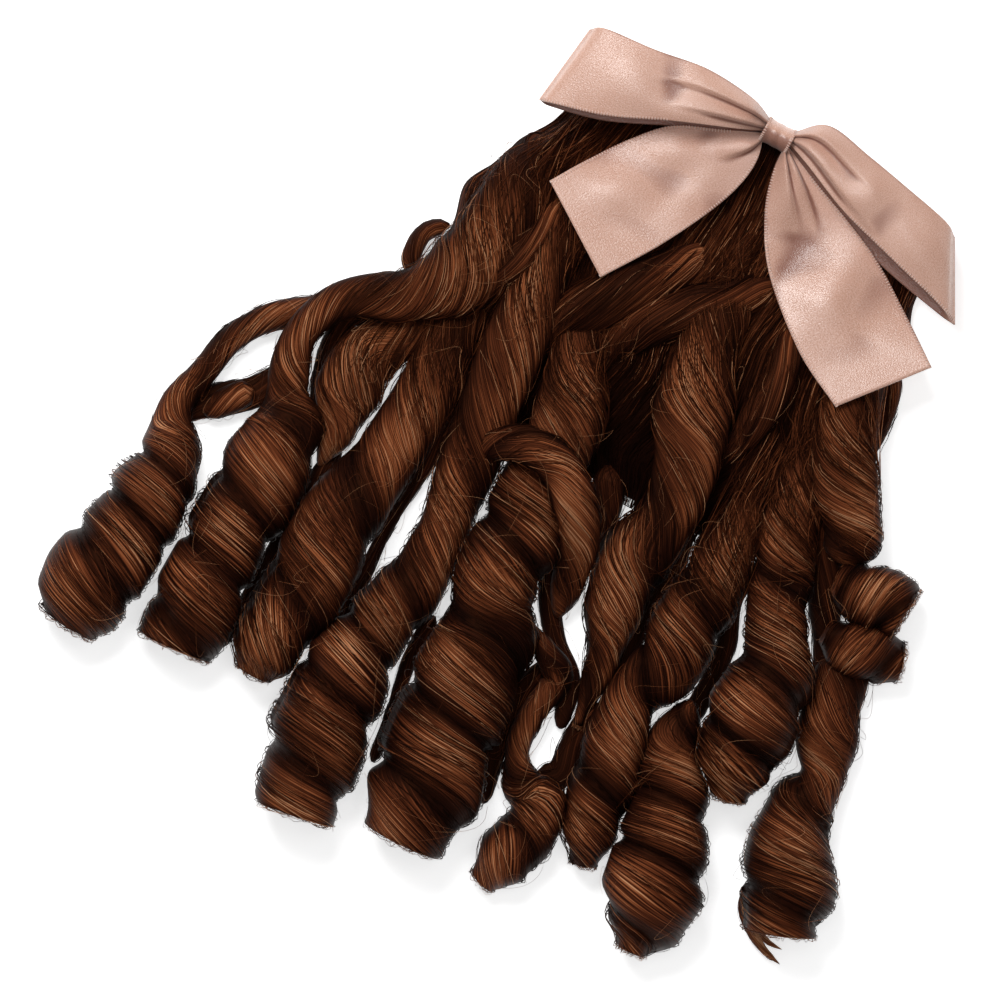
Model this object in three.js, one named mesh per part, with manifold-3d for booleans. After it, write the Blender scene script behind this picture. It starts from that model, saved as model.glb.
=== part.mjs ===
// A clip-in hairpiece of ringlets with a satin bow, lying flat as it rests.
// Millimetres, +Z up. X runs along the bow and the hair hangs towards -Y.
// The origin is the middle of the clip's underside, and the surface it lies on is Z = 0.
import * as THREE from "three";
import { mergeVertices } from "three/addons/utils/BufferGeometryUtils.js";
import Module from "manifold-3d";

const wasm = await Module();
wasm.setup();

// Sizes of the hair
const hairSide = 160; // reach of the outer tips to each side
const hairLength = 320; // clip to the lowest tip
const hairHigh = 160; // height scale of the locks, the same as the reach while the coils are round
const ledge = 0.16; // step from one turn to the next, as a share of the coil's radius
const ledgeOut = 0.055; // how far the step stands out of the coil's middle radius, as the same share
const rootLong = 26; // length over which a lock swells out of what carries it
const bore = 0.42; // hollow of a coil as a share of its radius
const boreDeep = 42; // length of the hollow
const ridgeHigh = 2.2; // relief of the locks on the crown
const ridgeCount = 9; // locks side by side on the crown
const clearance = 0.4; // gap kept between neighbours

// Sizes of the bow and the clip
const bowHalf = 90; // knot to the loop's end
const bowReach = 80; // knot to the lowest tail corner
const loopHigh = 15; // height of a loop's hollow
const ribbonThick = 1.2; // wall of the ribbon
const pleatHigh = 1.6; // relief of the pleats at the knot
const knotWide = 12;
const knotDeep = 9.5;
const knotHigh = 19;
const clipLong = 64;
const clipDeep = 12;
const clipHigh = 8;

// Colours and finishes
const brown = { color: "#3c1e10", roughness: 0.45, metalness: 0 };
const pink = { color: "#cfa999", roughness: 0.38, metalness: 0 };
const black = { color: "#17130f", roughness: 0.4, metalness: 0.6 };

// Crown outline from the clip down: edges to each side and height
const crownRows = [
  { down: 0.006, left: -0.43, right: 0.43, high: 0.05 },
  { down: 0.075, left: -0.487, right: 0.487, high: 0.085 },
  { down: 0.147, left: -0.56, right: 0.53, high: 0.11 },
  { down: 0.212, left: -0.62, right: 0.55, high: 0.12 },
  { down: 0.262, left: -0.6, right: 0.56, high: 0.12 },
  { down: 0.312, left: -0.56, right: 0.57, high: 0.11 },
  { down: 0.36, left: -0.56, right: 0.54, high: 0.1 },
  { down: 0.41, left: -0.555, right: 0.48, high: 0.075 },
  { down: 0.455, left: -0.36, right: 0.39, high: 0.04 },
];

// Ringlets from root to tip. across, under, wide and high are shares of the reach,
// down and pitch are shares of the length. wide and high are half sizes, and under is the gap to the surface.
const ringlets = {
  ringlet_far_left: [
    { across: -0.52, down: 0.345, under: 0.01, wide: 0.044, high: 0.028, pitch: 0.25 },
    { across: -0.69, down: 0.4, under: 0.004, wide: 0.045, high: 0.03, pitch: 0.25 },
    { across: -0.8, down: 0.436, under: 0.004, wide: 0.04, high: 0.032, pitch: 0.25 },
    { across: -0.88, down: 0.463, under: 0.004, wide: 0.036, high: 0.032, pitch: 0.25 },
    { across: -0.945, down: 0.51, under: 0.01, wide: 0.036, high: 0.034, pitch: 0.25 },
    { across: -0.965, down: 0.56, under: 0.01, wide: 0.034, high: 0.034, pitch: 0.25 },
    { across: -0.985, down: 0.618, under: 0.01, wide: 0.044, high: 0.036, pitch: 0.2 },
    { across: -0.945, down: 0.672, under: 0.005, wide: 0.075, high: 0.065, pitch: 0.1 },
    { across: -0.94, down: 0.725, under: 0, wide: 0.096, high: 0.094, pitch: 0.038 },
    { across: -0.947, down: 0.787, under: 0, wide: 0.107, high: 0.104, pitch: 0.036 },
    { across: -0.965, down: 0.845, under: 0, wide: 0.112, high: 0.11, pitch: 0.036 },
    { across: -0.972, down: 0.885, under: 0, wide: 0.098, high: 0.1, pitch: 0.036 },
    { across: -0.976, down: 0.91, under: 0.02, wide: 0.07, high: 0.075, pitch: 0.036 },
  ],
  ringlet_left: [
    { across: -0.5, down: 0.21, under: 0.075, wide: 0.085, high: 0.045, pitch: 0.28 },
    { across: -0.515, down: 0.306, under: 0.07, wide: 0.104, high: 0.056, pitch: 0.28 },
    { across: -0.612, down: 0.362, under: 0.075, wide: 0.07, high: 0.042, pitch: 0.25 },
    { across: -0.74, down: 0.403, under: 0.08, wide: 0.05, high: 0.035, pitch: 0.25 },
    { across: -0.797, down: 0.465, under: 0.075, wide: 0.044, high: 0.035, pitch: 0.25 },
    { across: -0.77, down: 0.53, under: 0.035, wide: 0.052, high: 0.042, pitch: 0.18 },
    { across: -0.724, down: 0.58, under: 0.005, wide: 0.088, high: 0.08, pitch: 0.05 },
    { across: -0.722, down: 0.64, under: 0, wide: 0.1, high: 0.098, pitch: 0.036 },
    { across: -0.722, down: 0.734, under: 0, wide: 0.1, high: 0.1, pitch: 0.036 },
    { across: -0.718, down: 0.819, under: 0, wide: 0.1, high: 0.1, pitch: 0.036 },
    { across: -0.71, down: 0.875, under: 0, wide: 0.092, high: 0.095, pitch: 0.036 },
  ],
  ringlet_left_inner: [
    { across: -0.47, down: 0.37, under: 0.035, wide: 0.06, high: 0.042, pitch: 0.3 },
    { across: -0.46, down: 0.44, under: 0.02, wide: 0.08, high: 0.047, pitch: 0.3 },
    { across: -0.468, down: 0.516, under: 0.01, wide: 0.08, high: 0.055, pitch: 0.25 },
    { across: -0.49, down: 0.587, under: 0.005, wide: 0.09, high: 0.078, pitch: 0.12 },
    { across: -0.502, down: 0.645, under: 0, wide: 0.101, high: 0.1, pitch: 0.042 },
    { across: -0.504, down: 0.725, under: 0, wide: 0.103, high: 0.102, pitch: 0.036 },
    { across: -0.508, down: 0.79, under: 0, wide: 0.096, high: 0.098, pitch: 0.036 },
    { across: -0.512, down: 0.832, under: 0, wide: 0.085, high: 0.09, pitch: 0.036 },
    { across: -0.514, down: 0.858, under: 0.03, wide: 0.05, high: 0.055, pitch: 0.036 },
  ],
  ringlet_left_low: [
    { across: -0.345, down: 0.235, under: 0.08, wide: 0.06, high: 0.042, pitch: 0.3 },
    { across: -0.328, down: 0.344, under: 0.065, wide: 0.078, high: 0.05, pitch: 0.3 },
    { across: -0.312, down: 0.437, under: 0.05, wide: 0.076, high: 0.05, pitch: 0.3 },
    { across: -0.29, down: 0.516, under: 0.02, wide: 0.074, high: 0.05, pitch: 0.25 },
    { across: -0.266, down: 0.6, under: 0.005, wide: 0.064, high: 0.05, pitch: 0.2 },
    { across: -0.28, down: 0.69, under: 0.005, wide: 0.086, high: 0.07, pitch: 0.11 },
    { across: -0.304, down: 0.755, under: 0, wide: 0.086, high: 0.088, pitch: 0.05 },
    { across: -0.312, down: 0.825, under: 0, wide: 0.1, high: 0.102, pitch: 0.036 },
    { across: -0.29, down: 0.9, under: 0, wide: 0.11, high: 0.11, pitch: 0.036 },
    { across: -0.262, down: 0.982, under: 0, wide: 0.095, high: 0.1, pitch: 0.036 },
  ],
  ringlet_middle: [
    { across: -0.185, down: 0.315, under: 0.07, wide: 0.064, high: 0.042, pitch: 0.25 },
    { across: -0.128, down: 0.4, under: 0.055, wide: 0.088, high: 0.052, pitch: 0.22 },
    { across: -0.122, down: 0.465, under: 0.03, wide: 0.09, high: 0.062, pitch: 0.12 },
    { across: -0.106, down: 0.525, under: 0.01, wide: 0.1, high: 0.085, pitch: 0.06 },
    { across: -0.1, down: 0.581, under: 0, wide: 0.114, high: 0.108, pitch: 0.038 },
    { across: -0.09, down: 0.64, under: 0, wide: 0.108, high: 0.104, pitch: 0.038 },
    { across: -0.05, down: 0.694, under: 0, wide: 0.13, high: 0.108, pitch: 0.04 },
    { across: -0.047, down: 0.75, under: 0, wide: 0.132, high: 0.11, pitch: 0.04 },
    { across: -0.038, down: 0.819, under: 0, wide: 0.136, high: 0.112, pitch: 0.04 },
    { across: -0.006, down: 0.89, under: 0, wide: 0.146, high: 0.114, pitch: 0.04 },
    { across: 0, down: 0.952, under: 0, wide: 0.1, high: 0.1, pitch: 0.04 },
  ],
  ringlet_middle_right: [
    { across: 0.085, down: 0.225, under: 0.08, wide: 0.07, high: 0.045, pitch: 0.3 },
    { across: 0.131, down: 0.319, under: 0.07, wide: 0.096, high: 0.052, pitch: 0.3 },
    { across: 0.178, down: 0.387, under: 0.06, wide: 0.08, high: 0.05, pitch: 0.28 },
    { across: 0.196, down: 0.455, under: 0.04, wide: 0.07, high: 0.05, pitch: 0.25 },
    { across: 0.175, down: 0.518, under: 0.02, wide: 0.09, high: 0.055, pitch: 0.25 },
    { across: 0.19, down: 0.575, under: 0.01, wide: 0.078, high: 0.055, pitch: 0.25 },
    { across: 0.22, down: 0.64, under: 0.005, wide: 0.048, high: 0.045, pitch: 0.2 },
    { across: 0.246, down: 0.728, under: 0.005, wide: 0.016, high: 0.025, pitch: 0.2 },
  ],
  ringlet_tip_curl: [
    { across: 0.074, down: 0.668, under: 0.085, wide: 0.026, high: 0.025, pitch: 0.2 },
    { across: 0.148, down: 0.69, under: 0.01, wide: 0.042, high: 0.035, pitch: 0.2 },
    { across: 0.135, down: 0.745, under: 0.01, wide: 0.034, high: 0.035, pitch: 0.2 },
    { across: 0.145, down: 0.795, under: 0.01, wide: 0.032, high: 0.035, pitch: 0.15 },
    { across: 0.2, down: 0.828, under: 0, wide: 0.045, high: 0.045, pitch: 0.08 },
    { across: 0.25, down: 0.832, under: 0, wide: 0.06, high: 0.06, pitch: 0.06 },
    { across: 0.256, down: 0.87, under: 0, wide: 0.066, high: 0.068, pitch: 0.06 },
    { across: 0.244, down: 0.91, under: 0, wide: 0.072, high: 0.07, pitch: 0.06 },
    { across: 0.218, down: 0.95, under: 0, wide: 0.034, high: 0.04, pitch: 0.06 },
  ],
  ringlet_right_inner: [
    { across: 0.368, down: 0.42, under: 0.035, wide: 0.055, high: 0.05, pitch: 0.14 },
    { across: 0.365, down: 0.48, under: 0.01, wide: 0.078, high: 0.08, pitch: 0.05 },
    { across: 0.368, down: 0.556, under: 0, wide: 0.092, high: 0.092, pitch: 0.045 },
    { across: 0.368, down: 0.612, under: 0, wide: 0.09, high: 0.09, pitch: 0.045 },
    { across: 0.336, down: 0.664, under: 0, wide: 0.062, high: 0.062, pitch: 0.06 },
    { across: 0.342, down: 0.719, under: 0, wide: 0.07, high: 0.07, pitch: 0.036 },
    { across: 0.366, down: 0.781, under: 0, wide: 0.077, high: 0.078, pitch: 0.036 },
    { across: 0.394, down: 0.837, under: 0, wide: 0.067, high: 0.07, pitch: 0.036 },
    { across: 0.412, down: 0.874, under: 0.01, wide: 0.034, high: 0.045, pitch: 0.036 },
  ],
  ringlet_right_low: [
    { across: 0.459, down: 0.637, under: 0.05, wide: 0.04, high: 0.05, pitch: 0.08 },
    { across: 0.476, down: 0.7, under: 0, wide: 0.06, high: 0.06, pitch: 0.05 },
    { across: 0.537, down: 0.757, under: 0, wide: 0.076, high: 0.078, pitch: 0.038 },
    { across: 0.576, down: 0.815, under: 0, wide: 0.098, high: 0.096, pitch: 0.038 },
    { across: 0.602, down: 0.865, under: 0, wide: 0.102, high: 0.102, pitch: 0.038 },
    { across: 0.616, down: 0.91, under: 0, wide: 0.08, high: 0.085, pitch: 0.038 },
    { across: 0.62, down: 0.94, under: 0.03, wide: 0.044, high: 0.05, pitch: 0.038 },
  ],
  ringlet_right: [
    { across: 0.448, down: 0.335, under: 0.045, wide: 0.058, high: 0.04, pitch: 0.2 },
    { across: 0.482, down: 0.412, under: 0.045, wide: 0.076, high: 0.05, pitch: 0.16 },
    { across: 0.525, down: 0.469, under: 0.025, wide: 0.082, high: 0.06, pitch: 0.07 },
    { across: 0.57, down: 0.519, under: 0.01, wide: 0.08, high: 0.075, pitch: 0.05 },
    { across: 0.606, down: 0.569, under: 0, wide: 0.104, high: 0.1, pitch: 0.038 },
    { across: 0.612, down: 0.625, under: 0, wide: 0.112, high: 0.108, pitch: 0.038 },
    { across: 0.63, down: 0.678, under: 0, wide: 0.098, high: 0.1, pitch: 0.038 },
    { across: 0.645, down: 0.718, under: 0.02, wide: 0.055, high: 0.06, pitch: 0.038 },
  ],
  ringlet_far_right: [
    { across: 0.758, down: 0.5215, under: 0.02, wide: 0.06, high: 0.042, pitch: 0.2 },
    { across: 0.795, down: 0.594, under: 0.005, wide: 0.076, high: 0.046, pitch: 0.22 },
    { across: 0.82, down: 0.645, under: 0.005, wide: 0.062, high: 0.055, pitch: 0.12 },
    { across: 0.818, down: 0.69, under: 0, wide: 0.076, high: 0.076, pitch: 0.045 },
    { across: 0.84, down: 0.735, under: 0, wide: 0.096, high: 0.096, pitch: 0.036 },
    { across: 0.88, down: 0.785, under: 0, wide: 0.105, high: 0.103, pitch: 0.036 },
    { across: 0.912, down: 0.828, under: 0, wide: 0.088, high: 0.092, pitch: 0.036 },
  ],
  roll_right_upper: [
    { across: 0.635, down: 0.44, under: 0.02, wide: 0.04, high: 0.045, pitch: 0.06 },
    { across: 0.7, down: 0.426, under: 0.015, wide: 0.068, high: 0.066, pitch: 0.04 },
    { across: 0.76, down: 0.42, under: 0.015, wide: 0.074, high: 0.07, pitch: 0.04 },
    { across: 0.815, down: 0.422, under: 0.02, wide: 0.07, high: 0.068, pitch: 0.04 },
  ],
  roll_right_lower: [
    { across: 0.668, down: 0.5, under: 0.01, wide: 0.036, high: 0.04, pitch: 0.06 },
    { across: 0.73, down: 0.4895, under: 0.005, wide: 0.06, high: 0.058, pitch: 0.04 },
    { across: 0.8, down: 0.4855, under: 0.005, wide: 0.064, high: 0.062, pitch: 0.04 },
    { across: 0.866, down: 0.476, under: 0.01, wide: 0.046, high: 0.05, pitch: 0.04 },
  ],
};

// Short locks with no hollow, in the same columns
const locks = {
  lock_far_right: [
    { across: 0.47, down: 0.235, under: 0.075, wide: 0.075, high: 0.042, pitch: 0.25 },
    { across: 0.54, down: 0.312, under: 0.07, wide: 0.084, high: 0.048, pitch: 0.2 },
    { across: 0.622, down: 0.37, under: 0.055, wide: 0.075, high: 0.048, pitch: 0.16 },
    { across: 0.659, down: 0.399, under: 0.05, wide: 0.05, high: 0.03, pitch: 0.14 },
  ],
  lock_left_inner: [
    { across: -0.565, down: 0.4, under: 0.05, wide: 0.05, high: 0.025, pitch: 0.3 },
    { across: -0.628, down: 0.455, under: 0.02, wide: 0.08, high: 0.04, pitch: 0.3 },
    { across: -0.632, down: 0.5, under: 0.012, wide: 0.082, high: 0.05, pitch: 0.3 },
    { across: -0.612, down: 0.55, under: 0.012, wide: 0.045, high: 0.04, pitch: 0.3 },
    { across: -0.61, down: 0.6, under: 0.004, wide: 0.012, high: 0.02, pitch: 0.3 },
  ],
  lock_cross: [
    { across: -0.84, down: 0.552, under: 0.015, wide: 0.038, high: 0.028, pitch: 0.3 },
    { across: -0.88, down: 0.578, under: 0.01, wide: 0.038, high: 0.028, pitch: 0.3 },
    { across: -0.918, down: 0.608, under: 0.01, wide: 0.028, high: 0.024, pitch: 0.3 },
  ],
  lock_arch: [
    { across: -0.272, down: 0.492, under: 0.14, wide: 0.03, high: 0.018, pitch: 0.3 },
    { across: -0.19, down: 0.456, under: 0.168, wide: 0.036, high: 0.02, pitch: 0.3 },
    { across: -0.09, down: 0.46, under: 0.175, wide: 0.036, high: 0.022, pitch: 0.3 },
    { across: -0.01, down: 0.492, under: 0.162, wide: 0.04, high: 0.022, pitch: 0.3 },
    { across: 0.038, down: 0.53, under: 0.09, wide: 0.042, high: 0.026, pitch: 0.3 },
    { across: 0.062, down: 0.58, under: 0.03, wide: 0.036, high: 0.03, pitch: 0.3 },
    { across: 0.078, down: 0.62, under: 0.01, wide: 0.02, high: 0.024, pitch: 0.3 },
  ],
  lock_side_left: [
    { across: -0.606, down: 0.262, under: 0.01, wide: 0.022, high: 0.02, pitch: 0.3 },
    { across: -0.65, down: 0.285, under: 0.01, wide: 0.024, high: 0.022, pitch: 0.3 },
    { across: -0.652, down: 0.316, under: 0.01, wide: 0.024, high: 0.022, pitch: 0.3 },
    { across: -0.632, down: 0.34, under: 0.01, wide: 0.018, high: 0.02, pitch: 0.3 },
  ],
  lock_side_right: [
    { across: 0.5, down: 0.15, under: 0.02, wide: 0.018, high: 0.018, pitch: 0.3 },
    { across: 0.543, down: 0.19, under: 0.01, wide: 0.022, high: 0.02, pitch: 0.3 },
    { across: 0.558, down: 0.24, under: 0.01, wide: 0.022, high: 0.02, pitch: 0.3 },
    { across: 0.56, down: 0.28, under: 0.02, wide: 0.018, high: 0.018, pitch: 0.3 },
  ],
};

// Bow loops from the knot's side out to the end fold. Places are shares of bowHalf along X and of bowReach
// along Y, and upper and lower are the heights of the two layers as shares of loopHigh.
const loopLeft = [
  { topX: 0, topY: 0.12, lowX: 0, lowY: 0.075, upper: 0.4, lower: 0.1 },
  { topX: 0.13, topY: 0.175, lowX: 0.13, lowY: 0.005, upper: 0.85, lower: 0 },
  { topX: 0.35, topY: 0.195, lowX: 0.36, lowY: -0.1, upper: 1.05, lower: 0 },
  { topX: 0.59, topY: 0.157, lowX: 0.63, lowY: -0.235, upper: 1.05, lower: 0 },
  { topX: 0.79, topY: 0.14, lowX: 0.84, lowY: -0.3, upper: 0.9, lower: 0.05 },
  { topX: 0.86, topY: 0.1, lowX: 0.91, lowY: -0.315, upper: 0.55, lower: 0.45 },
];
const loopRight = [
  { topX: 0, topY: 0.12, lowX: 0, lowY: 0.075, upper: 0.4, lower: 0.1 },
  { topX: 0.13, topY: 0.23, lowX: 0.13, lowY: 0.01, upper: 0.85, lower: 0 },
  { topX: 0.33, topY: 0.19, lowX: 0.35, lowY: -0.105, upper: 1.05, lower: 0 },
  { topX: 0.53, topY: 0.142, lowX: 0.61, lowY: -0.195, upper: 1.05, lower: 0 },
  { topX: 0.73, topY: 0.09, lowX: 0.87, lowY: -0.28, upper: 0.9, lower: 0.05 },
  { topX: 0.81, topY: 0.04, lowX: 0.985, lowY: -0.335, upper: 0.55, lower: 0.45 },
];

// Bow tails from the knot's side down: inner edge, outer edge and rise above the crown as a share of loopHigh
const tailLeft = [
  { innerX: 0, innerY: 0.025, outerX: 0, outerY: 0.062, rise: 0.15 },
  { innerX: -0.02, innerY: -0.07, outerX: 0.15, outerY: -0.015, rise: 0.25 },
  { innerX: -0.01, innerY: -0.2, outerX: 0.36, outerY: -0.12, rise: 0.18 },
  { innerX: 0.04, innerY: -0.37, outerX: 0.49, outerY: -0.27, rise: 0.1 },
  { innerX: 0.17, innerY: -0.66, outerX: 0.61, outerY: -0.46, rise: 0.05 },
  { innerX: 0.33, innerY: -0.94, outerX: 0.71, outerY: -0.64, rise: 0.08 },
];
const tailRight = [
  { innerX: 0, innerY: 0.025, outerX: 0, outerY: 0.062, rise: 0.15 },
  { innerX: 0.005, innerY: -0.08, outerX: 0.17, outerY: -0.03, rise: 0.25 },
  { innerX: 0.05, innerY: -0.27, outerX: 0.39, outerY: -0.135, rise: 0.2 },
  { innerX: 0.18, innerY: -0.52, outerX: 0.59, outerY: -0.25, rise: 0.12 },
  { innerX: 0.45, innerY: -0.8, outerX: 0.78, outerY: -0.4, rise: 0.06 },
  { innerX: 0.7, innerY: -0.96, outerX: 0.98, outerY: -0.57, rise: 0.06 },
];

// Eased value of one column between two rows, at a place counted in rows
function columnAt(rows, place, column) {
  const first = Math.min(Math.floor(place), rows.length - 2);
  const share = THREE.MathUtils.smoothstep(place - first, 0, 1);
  return THREE.MathUtils.lerp(rows[first][column], rows[first + 1][column], share);
}

// Row place where a rising column reaches a value
function placeOf(rows, column, value) {
  const next = rows.findIndex((row) => row[column] > value);
  if (next === 0) return 0;
  if (next < 0) return rows.length - 1;
  const span = rows[next][column] - rows[next - 1][column];
  return next - 1 + (value - rows[next - 1][column]) / span;
}

// A mesh with an indexed geometry made from points and faces
function geometryFrom(points, faces) {
  const geometry = new THREE.BufferGeometry();
  geometry.setAttribute("position", new THREE.Float32BufferAttribute(points.flatMap((p) => [p.x, p.y, p.z]), 3));
  geometry.setIndex(faces.flat());
  return geometry;
}

function solidOf(geometry) {
  const bare = mergeVertices(geometry, 1e-4);
  return new wasm.Manifold(
    new wasm.Mesh({
      numProp: 3,
      vertProperties: new Float32Array(bare.attributes.position.array),
      triVerts: new Uint32Array(bare.index.array),
    }),
  );
}

function geometryOf(solid) {
  const mesh = solid.getMesh();
  const geometry = new THREE.BufferGeometry();
  geometry.setAttribute("position", new THREE.Float32BufferAttribute(mesh.vertProperties, 3));
  geometry.setIndex(Array.from(mesh.triVerts));
  return geometry;
}

function meshOf(name, geometry, finish) {
  const shown = geometry.toNonIndexed();
  shown.computeVertexNormals();
  const mesh = new THREE.Mesh(shown, new THREE.MeshStandardMaterial(finish));
  mesh.name = name;
  return mesh;
}

// Places along a lock: centre, the two section axes, half sizes and how far the lock has turned
function placesAlong(rows, grow) {
  const centres = rows.map(
    (row) =>
      new THREE.Vector3(
        row.across * hairSide,
        -row.down * hairLength,
        (row.under + row.high * (1 + ledgeOut)) * hairHigh,
      ),
  );
  const curve = new THREE.CatmullRomCurve3(centres, false, "centripetal");
  const fine = 400;
  const places = [];
  const swellLong = Math.min(rootLong, 0.18 * curve.getLength());
  let gone = 0;
  let turned = 0;
  let since = Infinity;
  let last = curve.getPoint(0);
  for (let i = 0; i <= fine; i += 1) {
    const share = i / fine;
    const row = share * (rows.length - 1);
    const centre = curve.getPoint(share);
    const step = centre.distanceTo(last);
    const pitch = columnAt(rows, row, "pitch") * hairLength;
    gone += step;
    turned += step / pitch;
    since += step;
    last = centre;
    if (since < THREE.MathUtils.clamp(pitch / 3, 4.2, 12) && i < fine) continue;
    since = 0;
    const along = curve.getTangent(share);
    const side = new THREE.Vector3(along.y, -along.x, 0).normalize();
    const up = new THREE.Vector3().crossVectors(side, along);
    const swell = Math.sin(0.5 * Math.PI * Math.min(0.12 + gone / swellLong, 1));
    const wide = columnAt(rows, row, "wide") * hairSide * (0.4 + 0.6 * swell) + grow;
    const high = columnAt(rows, row, "high") * hairHigh * swell + grow;
    if (i === 0) centre.addScaledVector(along, -grow);
    if (i === fine) centre.addScaledVector(along, grow);
    places.push({ centre, side, up, wide, high, turned });
  }
  return places;
}

// A ring of points round one place. The radius falls away once round, which leaves one stepped edge.
function ringAt(place, sides, share, step) {
  const points = [];
  for (let k = 0; k < sides; k += 1) {
    const angle = (2 * Math.PI * k) / sides;
    const lag = THREE.MathUtils.euclideanModulo(k / sides - place.turned, 1);
    const radius = share * (1 + ledgeOut - step * lag);
    points.push(
      place.centre
        .clone()
        .addScaledVector(place.side, Math.cos(angle) * place.wide * radius)
        .addScaledVector(place.up, Math.sin(angle) * place.high * radius),
    );
  }
  return points;
}

// Closed skin through a chain of rings, with a flat fan at each end
function skinOf(rings, startCentre, endCentre) {
  const sides = rings[0].length;
  const points = rings.flat();
  const faces = [];
  for (let i = 0; i + 1 < rings.length; i += 1) {
    for (let k = 0; k < sides; k += 1) {
      const a = i * sides + k;
      const b = i * sides + ((k + 1) % sides);
      faces.push([a, a + sides, b + sides], [a, b + sides, b]);
    }
  }
  const start = points.push(startCentre) - 1;
  const end = points.push(endCentre) - 1;
  const lastRing = (rings.length - 1) * sides;
  for (let k = 0; k < sides; k += 1) {
    faces.push([start, k, (k + 1) % sides]);
    faces.push([end, lastRing + ((k + 1) % sides), lastRing + k]);
  }
  return geometryFrom(points, faces);
}

function lockGeometry(rows, sides, grow = 0) {
  const places = placesAlong(rows, grow);
  const rings = places.map((place) => ringAt(place, sides, 1, grow > 0 ? 0 : ledge));
  return skinOf(rings, places[0].centre, places[places.length - 1].centre);
}

// A ringlet is a lock whose coiled end is hollow
function ringletGeometry(rows, sides) {
  const places = placesAlong(rows, 0);
  const rings = places.map((place) => ringAt(place, sides, 1, ledge));
  let deep = 0;
  let at = places.length - 1;
  rings.push(ringAt(places[at], sides, bore, 0));
  while (deep < boreDeep && at > 2) {
    const from = places[at].centre;
    at = Math.max(at - 3, 2);
    deep += from.distanceTo(places[at].centre);
    rings.push(ringAt(places[at], sides, bore, 0));
  }
  return skinOf(rings, places[0].centre, places[at].centre);
}

// Height of the crown at a distance down from the clip
function crownHigh(down) {
  return columnAt(crownRows, placeOf(crownRows, "down", down), "high") * hairHigh;
}

function crownGeometry() {
  const across = 20;
  const downs = 14;
  const upper = [];
  const lower = [];
  for (let j = 0; j <= downs; j += 1) {
    const row = (j / downs) * (crownRows.length - 1);
    const down = columnAt(crownRows, row, "down");
    const left = columnAt(crownRows, row, "left") * hairSide;
    const right = columnAt(crownRows, row, "right") * hairSide;
    for (let i = 0; i <= across; i += 1) {
      const share = (2 * i) / across - 1;
      const x = THREE.MathUtils.lerp(left, right, i / across);
      const edge = Math.sqrt(1 - 0.86 * share ** 6);
      const ridge = 0.5 - 0.5 * Math.cos(Math.PI * ridgeCount * (share + 0.12 * Math.sin(5 * share + row)));
      const z = crownHigh(down) * edge - ridgeHigh * ridge * edge;
      upper.push(new THREE.Vector3(x, -down * hairLength, z));
      lower.push(new THREE.Vector3(x, -down * hairLength, 0));
    }
  }
  return slabGeometry(upper, lower, across, downs);
}

// Closed slab between two grids of the same layout, upper facing +normal
function slabGeometry(upper, lower, across, downs) {
  const wide = across + 1;
  const count = upper.length;
  const faces = [];
  for (let j = 0; j < downs; j += 1) {
    for (let i = 0; i < across; i += 1) {
      const a = j * wide + i;
      const c = a + wide;
      faces.push([a, c, c + 1], [a, c + 1, a + 1]);
      faces.push([count + a, count + c + 1, count + c], [count + a, count + a + 1, count + c + 1]);
    }
  }
  const rim = [];
  for (let j = 0; j < downs; j += 1) rim.push(j * wide);
  for (let i = 0; i < across; i += 1) rim.push(downs * wide + i);
  for (let j = downs; j > 0; j -= 1) rim.push(j * wide + across);
  for (let i = across; i > 0; i -= 1) rim.push(i);
  rim.forEach((from, n) => {
    const to = rim[(n + 1) % rim.length];
    faces.push([from, count + from, count + to], [from, count + to, to]);
  });
  return geometryFrom([...upper, ...lower], faces);
}

// A ribbon: a grid of middle points from at(u, v), thickened to both sides
function ribbonGeometry(at, across, downs) {
  const upper = [];
  const lower = [];
  for (let j = 0; j <= downs; j += 1) {
    for (let i = 0; i <= across; i += 1) {
      const u = j / downs;
      const v = i / across;
      const small = 0.002;
      const alongU = at(Math.min(u + small, 1), v).sub(at(Math.max(u - small, 0), v));
      const alongV = at(u, Math.min(v + small, 1)).sub(at(u, Math.max(v - small, 0)));
      const normal = new THREE.Vector3().crossVectors(alongU, alongV).normalize();
      const middle = at(u, v);
      upper.push(middle.clone().addScaledVector(normal, ribbonThick / 2));
      lower.push(middle.clone().addScaledVector(normal, -ribbonThick / 2));
    }
  }
  return slabGeometry(upper, lower, across, downs);
}

// Height at which the bow's lower layers rest
const bowSeat = crownHigh(crownRows[1].down) + clearance + ribbonThick;

// Place in X of a bow point, counted from the knot's side
function bowX(side, share) {
  return side * (0.5 * (knotWide + ribbonThick) + clearance + share * bowHalf);
}

// A loop goes out along the upper layer, round the end fold and back along the lower layer
function loopGeometry(rows, side) {
  const last = rows.length - 1;
  const at = (u, v) => {
    const out = u < 0.5;
    const row = last * (out ? 2 * u : 2 - 2 * u);
    const x = THREE.MathUtils.lerp(columnAt(rows, row, "topX"), columnAt(rows, row, "lowX"), v);
    const y = THREE.MathUtils.lerp(columnAt(rows, row, "topY"), columnAt(rows, row, "lowY"), v) * bowReach;
    const pleat = Math.cos(4 * Math.PI * v) * pleatHigh * Math.max(0, 1 - row / 2.5) * (out ? 1 : 0.5);
    const lift = columnAt(rows, row, out ? "upper" : "lower") * loopHigh;
    return new THREE.Vector3(bowX(side, x), y, bowSeat + lift + pleat);
  };
  return ribbonGeometry(at, 8, 14);
}

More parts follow.
